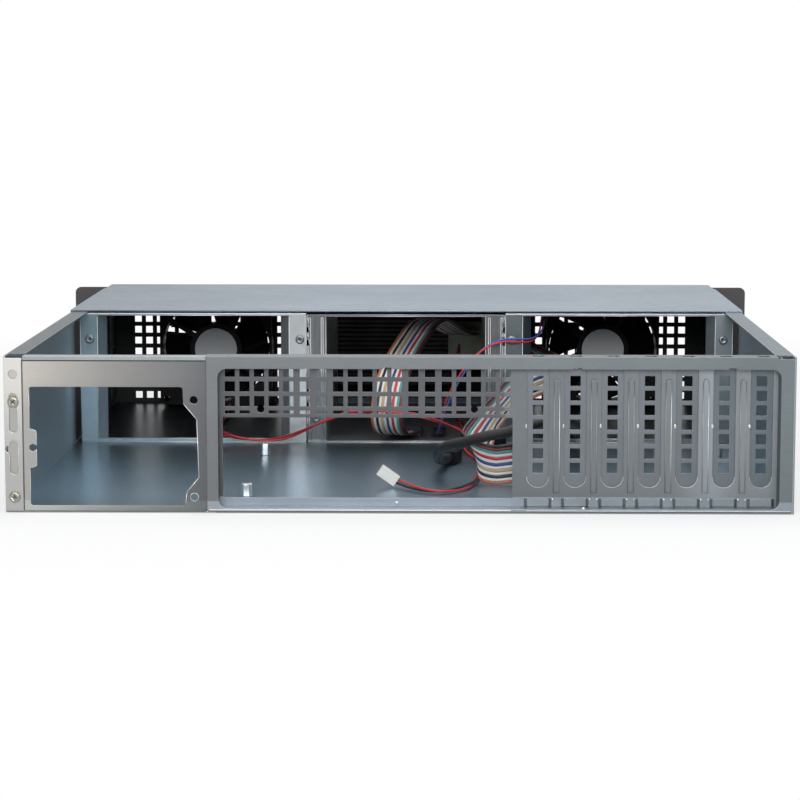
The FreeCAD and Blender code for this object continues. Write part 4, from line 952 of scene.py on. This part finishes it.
def pair(name, route, colors, radius, pitch=None, spread=1.02):
    """Insulated strands that turn slowly round each other, spread times their radius from the middle."""
    line = centreline(name, route)
    frames = carried_frames(line, pitch)
    builder = Builder()
    count = len(colors)
    for i in range(count):
        angle = 2 * math.pi * i / count
        reach = radius * spread
        offsets = [(reach * math.cos(angle), reach * math.sin(angle))] * len(line)
        builder.tube(line, frames, offsets, radius, 10, i)
    piece = builder.piece(name + "_strands", [wire_materials[c] for c in colors])
    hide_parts(name)
    return piece, line


fan_lead_left_route = [
    (-128.0, 435.0, 3.9), (-127.0, 412.0, 3.0), (-124.5, 375.0, 2.6), (-126.5, 335.0, 2.6),
    (-124.0, 303.0, 3.2), (-122.5, 280.0, 6.4), (-120.0, 262.0, 7.8), (-113.0, 251.0, 6.2),
    (-99.0, 247.5, 4.4), (-84.0, 246.0, 4.6), (-73.0, 244.0, 7.4), (-54.0, 240.0, 17.0),
    (-38.0, 236.0, 23.6), (-20.0, 232.5, 25.6), (-3.0, 231.0, 25.0), (16.0, 232.0, 21.0),
    (31.7, 235.5, 14.7), (41.3, 239.5, 8.6), (48.0, 244.0, 4.8), (55.0, 247.5, 3.7),
]
fan_lead_right_route = [
    (99.5, 435.0, 76.0), (92.0, 405.0, 78.0), (88.5, 360.0, 79.5), (90.5, 320.0, 79.5), (89.5, 292.0, 77.5),
    (87.2, 274.0, 70.5), (80.5, 259.5, 67.5), (71.5, 252.0, 68.5), (62.0, 248.0, 69.0), (52.7, 245.0, 66.0),
    (44.0, 243.5, 59.0), (34.5, 243.0, 46.0), (27.0, 244.0, 31.0), (22.5, 249.0, 15.5), (20.5, 262.0, 5.8),
    (21.5, 281.0, 4.6),
]
ribbon_one_route = [
    (39.0, 445.0, 52.5), (33.8, 424.0, 56.0), (25.3, 390.0, 65.0), (17.8, 360.0, 72.0), (10.9, 332.0, 71.8),
    (5.2, 309.0, 65.5), (-1.8, 281.0, 57.0), (-8.0, 256.0, 45.5), (-10.8, 245.0, 33.0),
    (-11.8, 241.0, 21.0), (-10.3, 247.0, 10.5), (-6.5, 262.0, 5.6), (-1.5, 282.0, 5.4),
]
ribbon_two_route = [
    (67.0, 445.0, 60.0), (67.0, 426.0, 59.5), (72.0, 390.0, 54.0), (82.0, 340.0, 48.0), (93.0, 295.0, 46.0),
    (98.0, 258.0, 48.0), (93.0, 222.0, 51.0), (80.0, 186.0, 51.5), (67.0, 158.0, 48.0), (57.0, 136.0, 41.0),
    (47.5, 117.0, 31.0), (41.5, 103.0, 22.0), (45.5, 93.5, 17.0), (56.0, 90.5, 15.4), (66.0, 91.0, 15.4),
]
sleeved_cable_route = [
    (67.0, 445.0, 20.0), (67.0, 430.0, 20.0), (70.0, 402.0, 11.0), (80.0, 355.0, 5.6), (95.0, 300.0, 5.6),
    (104.0, 262.0, 10.5), (107.0, 225.0, 13.5), (107.0, 180.0, 19.0), (105.0, 135.0, 29.0),
    (97.0, 100.0, 38.0), (82.0, 84.0, 41.0), (66.0, 80.5, 39.0), (51.0, 81.0, 36.0), (38.5, 85.0, 32.0),
    (28.0, 93.0, 26.5), (21.0, 106.0, 19.5), (19.5, 124.0, 12.0), (22.0, 146.0, 6.2), (27.5, 168.0, 5.2),
]
switch_lead_route = [
    (36.0, 451.0, 44.0), (33.0, 430.0, 26.0), (31.0, 402.0, 8.0), (34.0, 360.0, 3.8), (38.0, 318.0, 4.2),
    (38.0, 280.0, 4.6), (36.5, 250.0, 3.4), (38.5, 218.0, 2.8), (45.0, 185.0, 2.8), (47.8, 150.0, 2.8),
    (44.8, 120.0, 2.8), (43.2, 97.0, 2.8), (40.0, 79.0, 2.8), (33.0, 64.0, 2.8), (20.0, 56.0, 2.8),
    (8.0, 66.0, 3.0), (-2.7, 82.0, 4.6),
]

first, last = ribbon_one_route[0], ribbon_one_route[-1]
level_way = Vector((last[0] - first[0], last[1] - first[1], 0)).normalized()
ribbon_colors = ["orange", "white", "black", "white", "tan", "white", "navy", "white", "red", "white", "teal",
                 "maroon", "black"]
ribbon_one, line = ribbon(
    "ribbon_one", ribbon_one_route, lambda path: fixed_frames(path, Vector((0, 0, 1)).cross(level_way)),
    ribbon_colors, 0.022)
ribbon_two, line = ribbon(
    "ribbon_two", ribbon_two_route, lambda path: fixed_frames(path, Vector((0, 0, 1))),
    ribbon_colors, 0.023, 0.007)
lead, line = pair("fan_lead_left", fan_lead_left_route, ["red", "red_dark"], 0.00068, 0.09)
lead, line = pair("fan_lead_right", fan_lead_right_route, ["red", "blue"], 0.00064, 0.12, 1.5)
lead, line = pair("switch_lead", switch_lead_route, ["red", "black"], 0.0007, 0.11, 1.35)
line = nudged(centreline("sleeved_cable", sleeved_cable_route), cable_settle)
builder = Builder()
builder.tube(line, carried_frames(line), [(0.0, 0.0)] * len(line), 0.0031, 20)
cable = builder.piece("sleeved_cable_braid", [sleeve])
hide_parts("sleeved_cable")


# ---- floor, light and the pale surroundings ----
# the floor glows, most of all away from the case, so that it meets the white surroundings without a line
# the surroundings are white in the picture, darker where metal mirrors the camera's side, and grey as a light
def direct_rays(g):
    """1 for rays that see the surroundings from the camera, off a mirror or through a clear part, and 1 for
    rays from the camera alone."""
    rays = g.add("ShaderNodeLightPath").outputs
    mirrored = g.math("MAXIMUM", rays["Is Glossy Ray"], rays["Is Transmission Ray"])
    return g.math("MAXIMUM", rays["Is Camera Ray"], mirrored), rays["Is Camera Ray"]


floor_mesh = bpy.data.meshes.new("floor")
floor_mesh.from_pydata([(-6, -6, 0), (6, -6, 0), (6, 6, 0), (-6, 6, 0)], [], [(0, 1, 2, 3)])
floor = bpy.data.objects.new("floor", floor_mesh)
scene.collection.objects.link(floor)
paper, g = new_material("paper")
seen, from_camera = direct_rays(g)
plain = g.add("ShaderNodeBsdfDiffuse", {"Color": (0.86, 0.86, 0.86, 1)})
glow = g.add("ShaderNodeEmission", {"Color": (1, 1, 1, 1), "Strength": 1.0})
x, y, _ = g.axes()
away = g.math("MAXIMUM", g.along(g.math("ABSOLUTE", x), [(0.24, 0.6), (0.5, 1.0)]),
              g.along(g.math("ABSOLUTE", y), [(0.3, 0.6), (0.7, 1.0)]))
both = g.add("ShaderNodeMixShader", {0: g.math("MULTIPLY", seen, away)})
g.tree.links.new(plain.outputs[0], both.inputs[1])
g.tree.links.new(glow.outputs[0], both.inputs[2])
g.add("ShaderNodeOutputMaterial", {"Surface": both.outputs[0]})
floor_mesh.materials.append(paper)

world = bpy.data.worlds.new("studio")
scene.world = world
world.use_nodes = True
g = Graph(world.node_tree)
seen, from_camera = direct_rays(g)
direction = g.add("ShaderNodeTexCoord").outputs["Generated"]
parts = g.add("ShaderNodeSeparateXYZ", {0: direction})
ahead = g.add("ShaderNodeMapRange", {0: parts.outputs["Y"], 1: -0.6, 2: 0.4, 3: 0.55, 4: 1.0}).outputs[0]
level = g.math("MAXIMUM", from_camera, ahead)
shown = g.add("ShaderNodeCombineColor", {0: level, 1: level, 2: level}).outputs[0]
lit = g.mix(seen, (0.42, 0.43, 0.45, 1), shown)
back = g.add("ShaderNodeBackground", {"Color": lit, "Strength": 1.0})
g.add("ShaderNodeOutputWorld", {"Surface": back.outputs[0]})


def softbox(name, place, target, size_x, size_y, power):
    """A rectangular lamp that faces a target: metres and watts."""
    data = bpy.data.lights.new(name, "AREA")
    data.shape = "RECTANGLE"
    data.size = size_x
    data.size_y = size_y
    data.energy = power
    lamp = bpy.data.objects.new(name, data)
    lamp.location = place
    lamp.rotation_euler = (Vector(target) - Vector(place)).to_track_quat("-Z", "Y").to_euler()
    scene.collection.objects.link(lamp)


softbox("key", (-0.7, -1.3, 1.5), (0, -0.1, 0.04), 0.9, 0.9, 8.0)
softbox("front", (0.05, -1.7, 0.5), (0, 0.1, 0.04), 0.7, 0.35, 11.0)
softbox("top", (0.1, 0.1, 1.6), (0, 0, 0), 1.4, 1.0, 11.0)
softbox("side", (1.5, -0.6, 0.9), (0, 0, 0.04), 0.8, 0.8, 4.0)
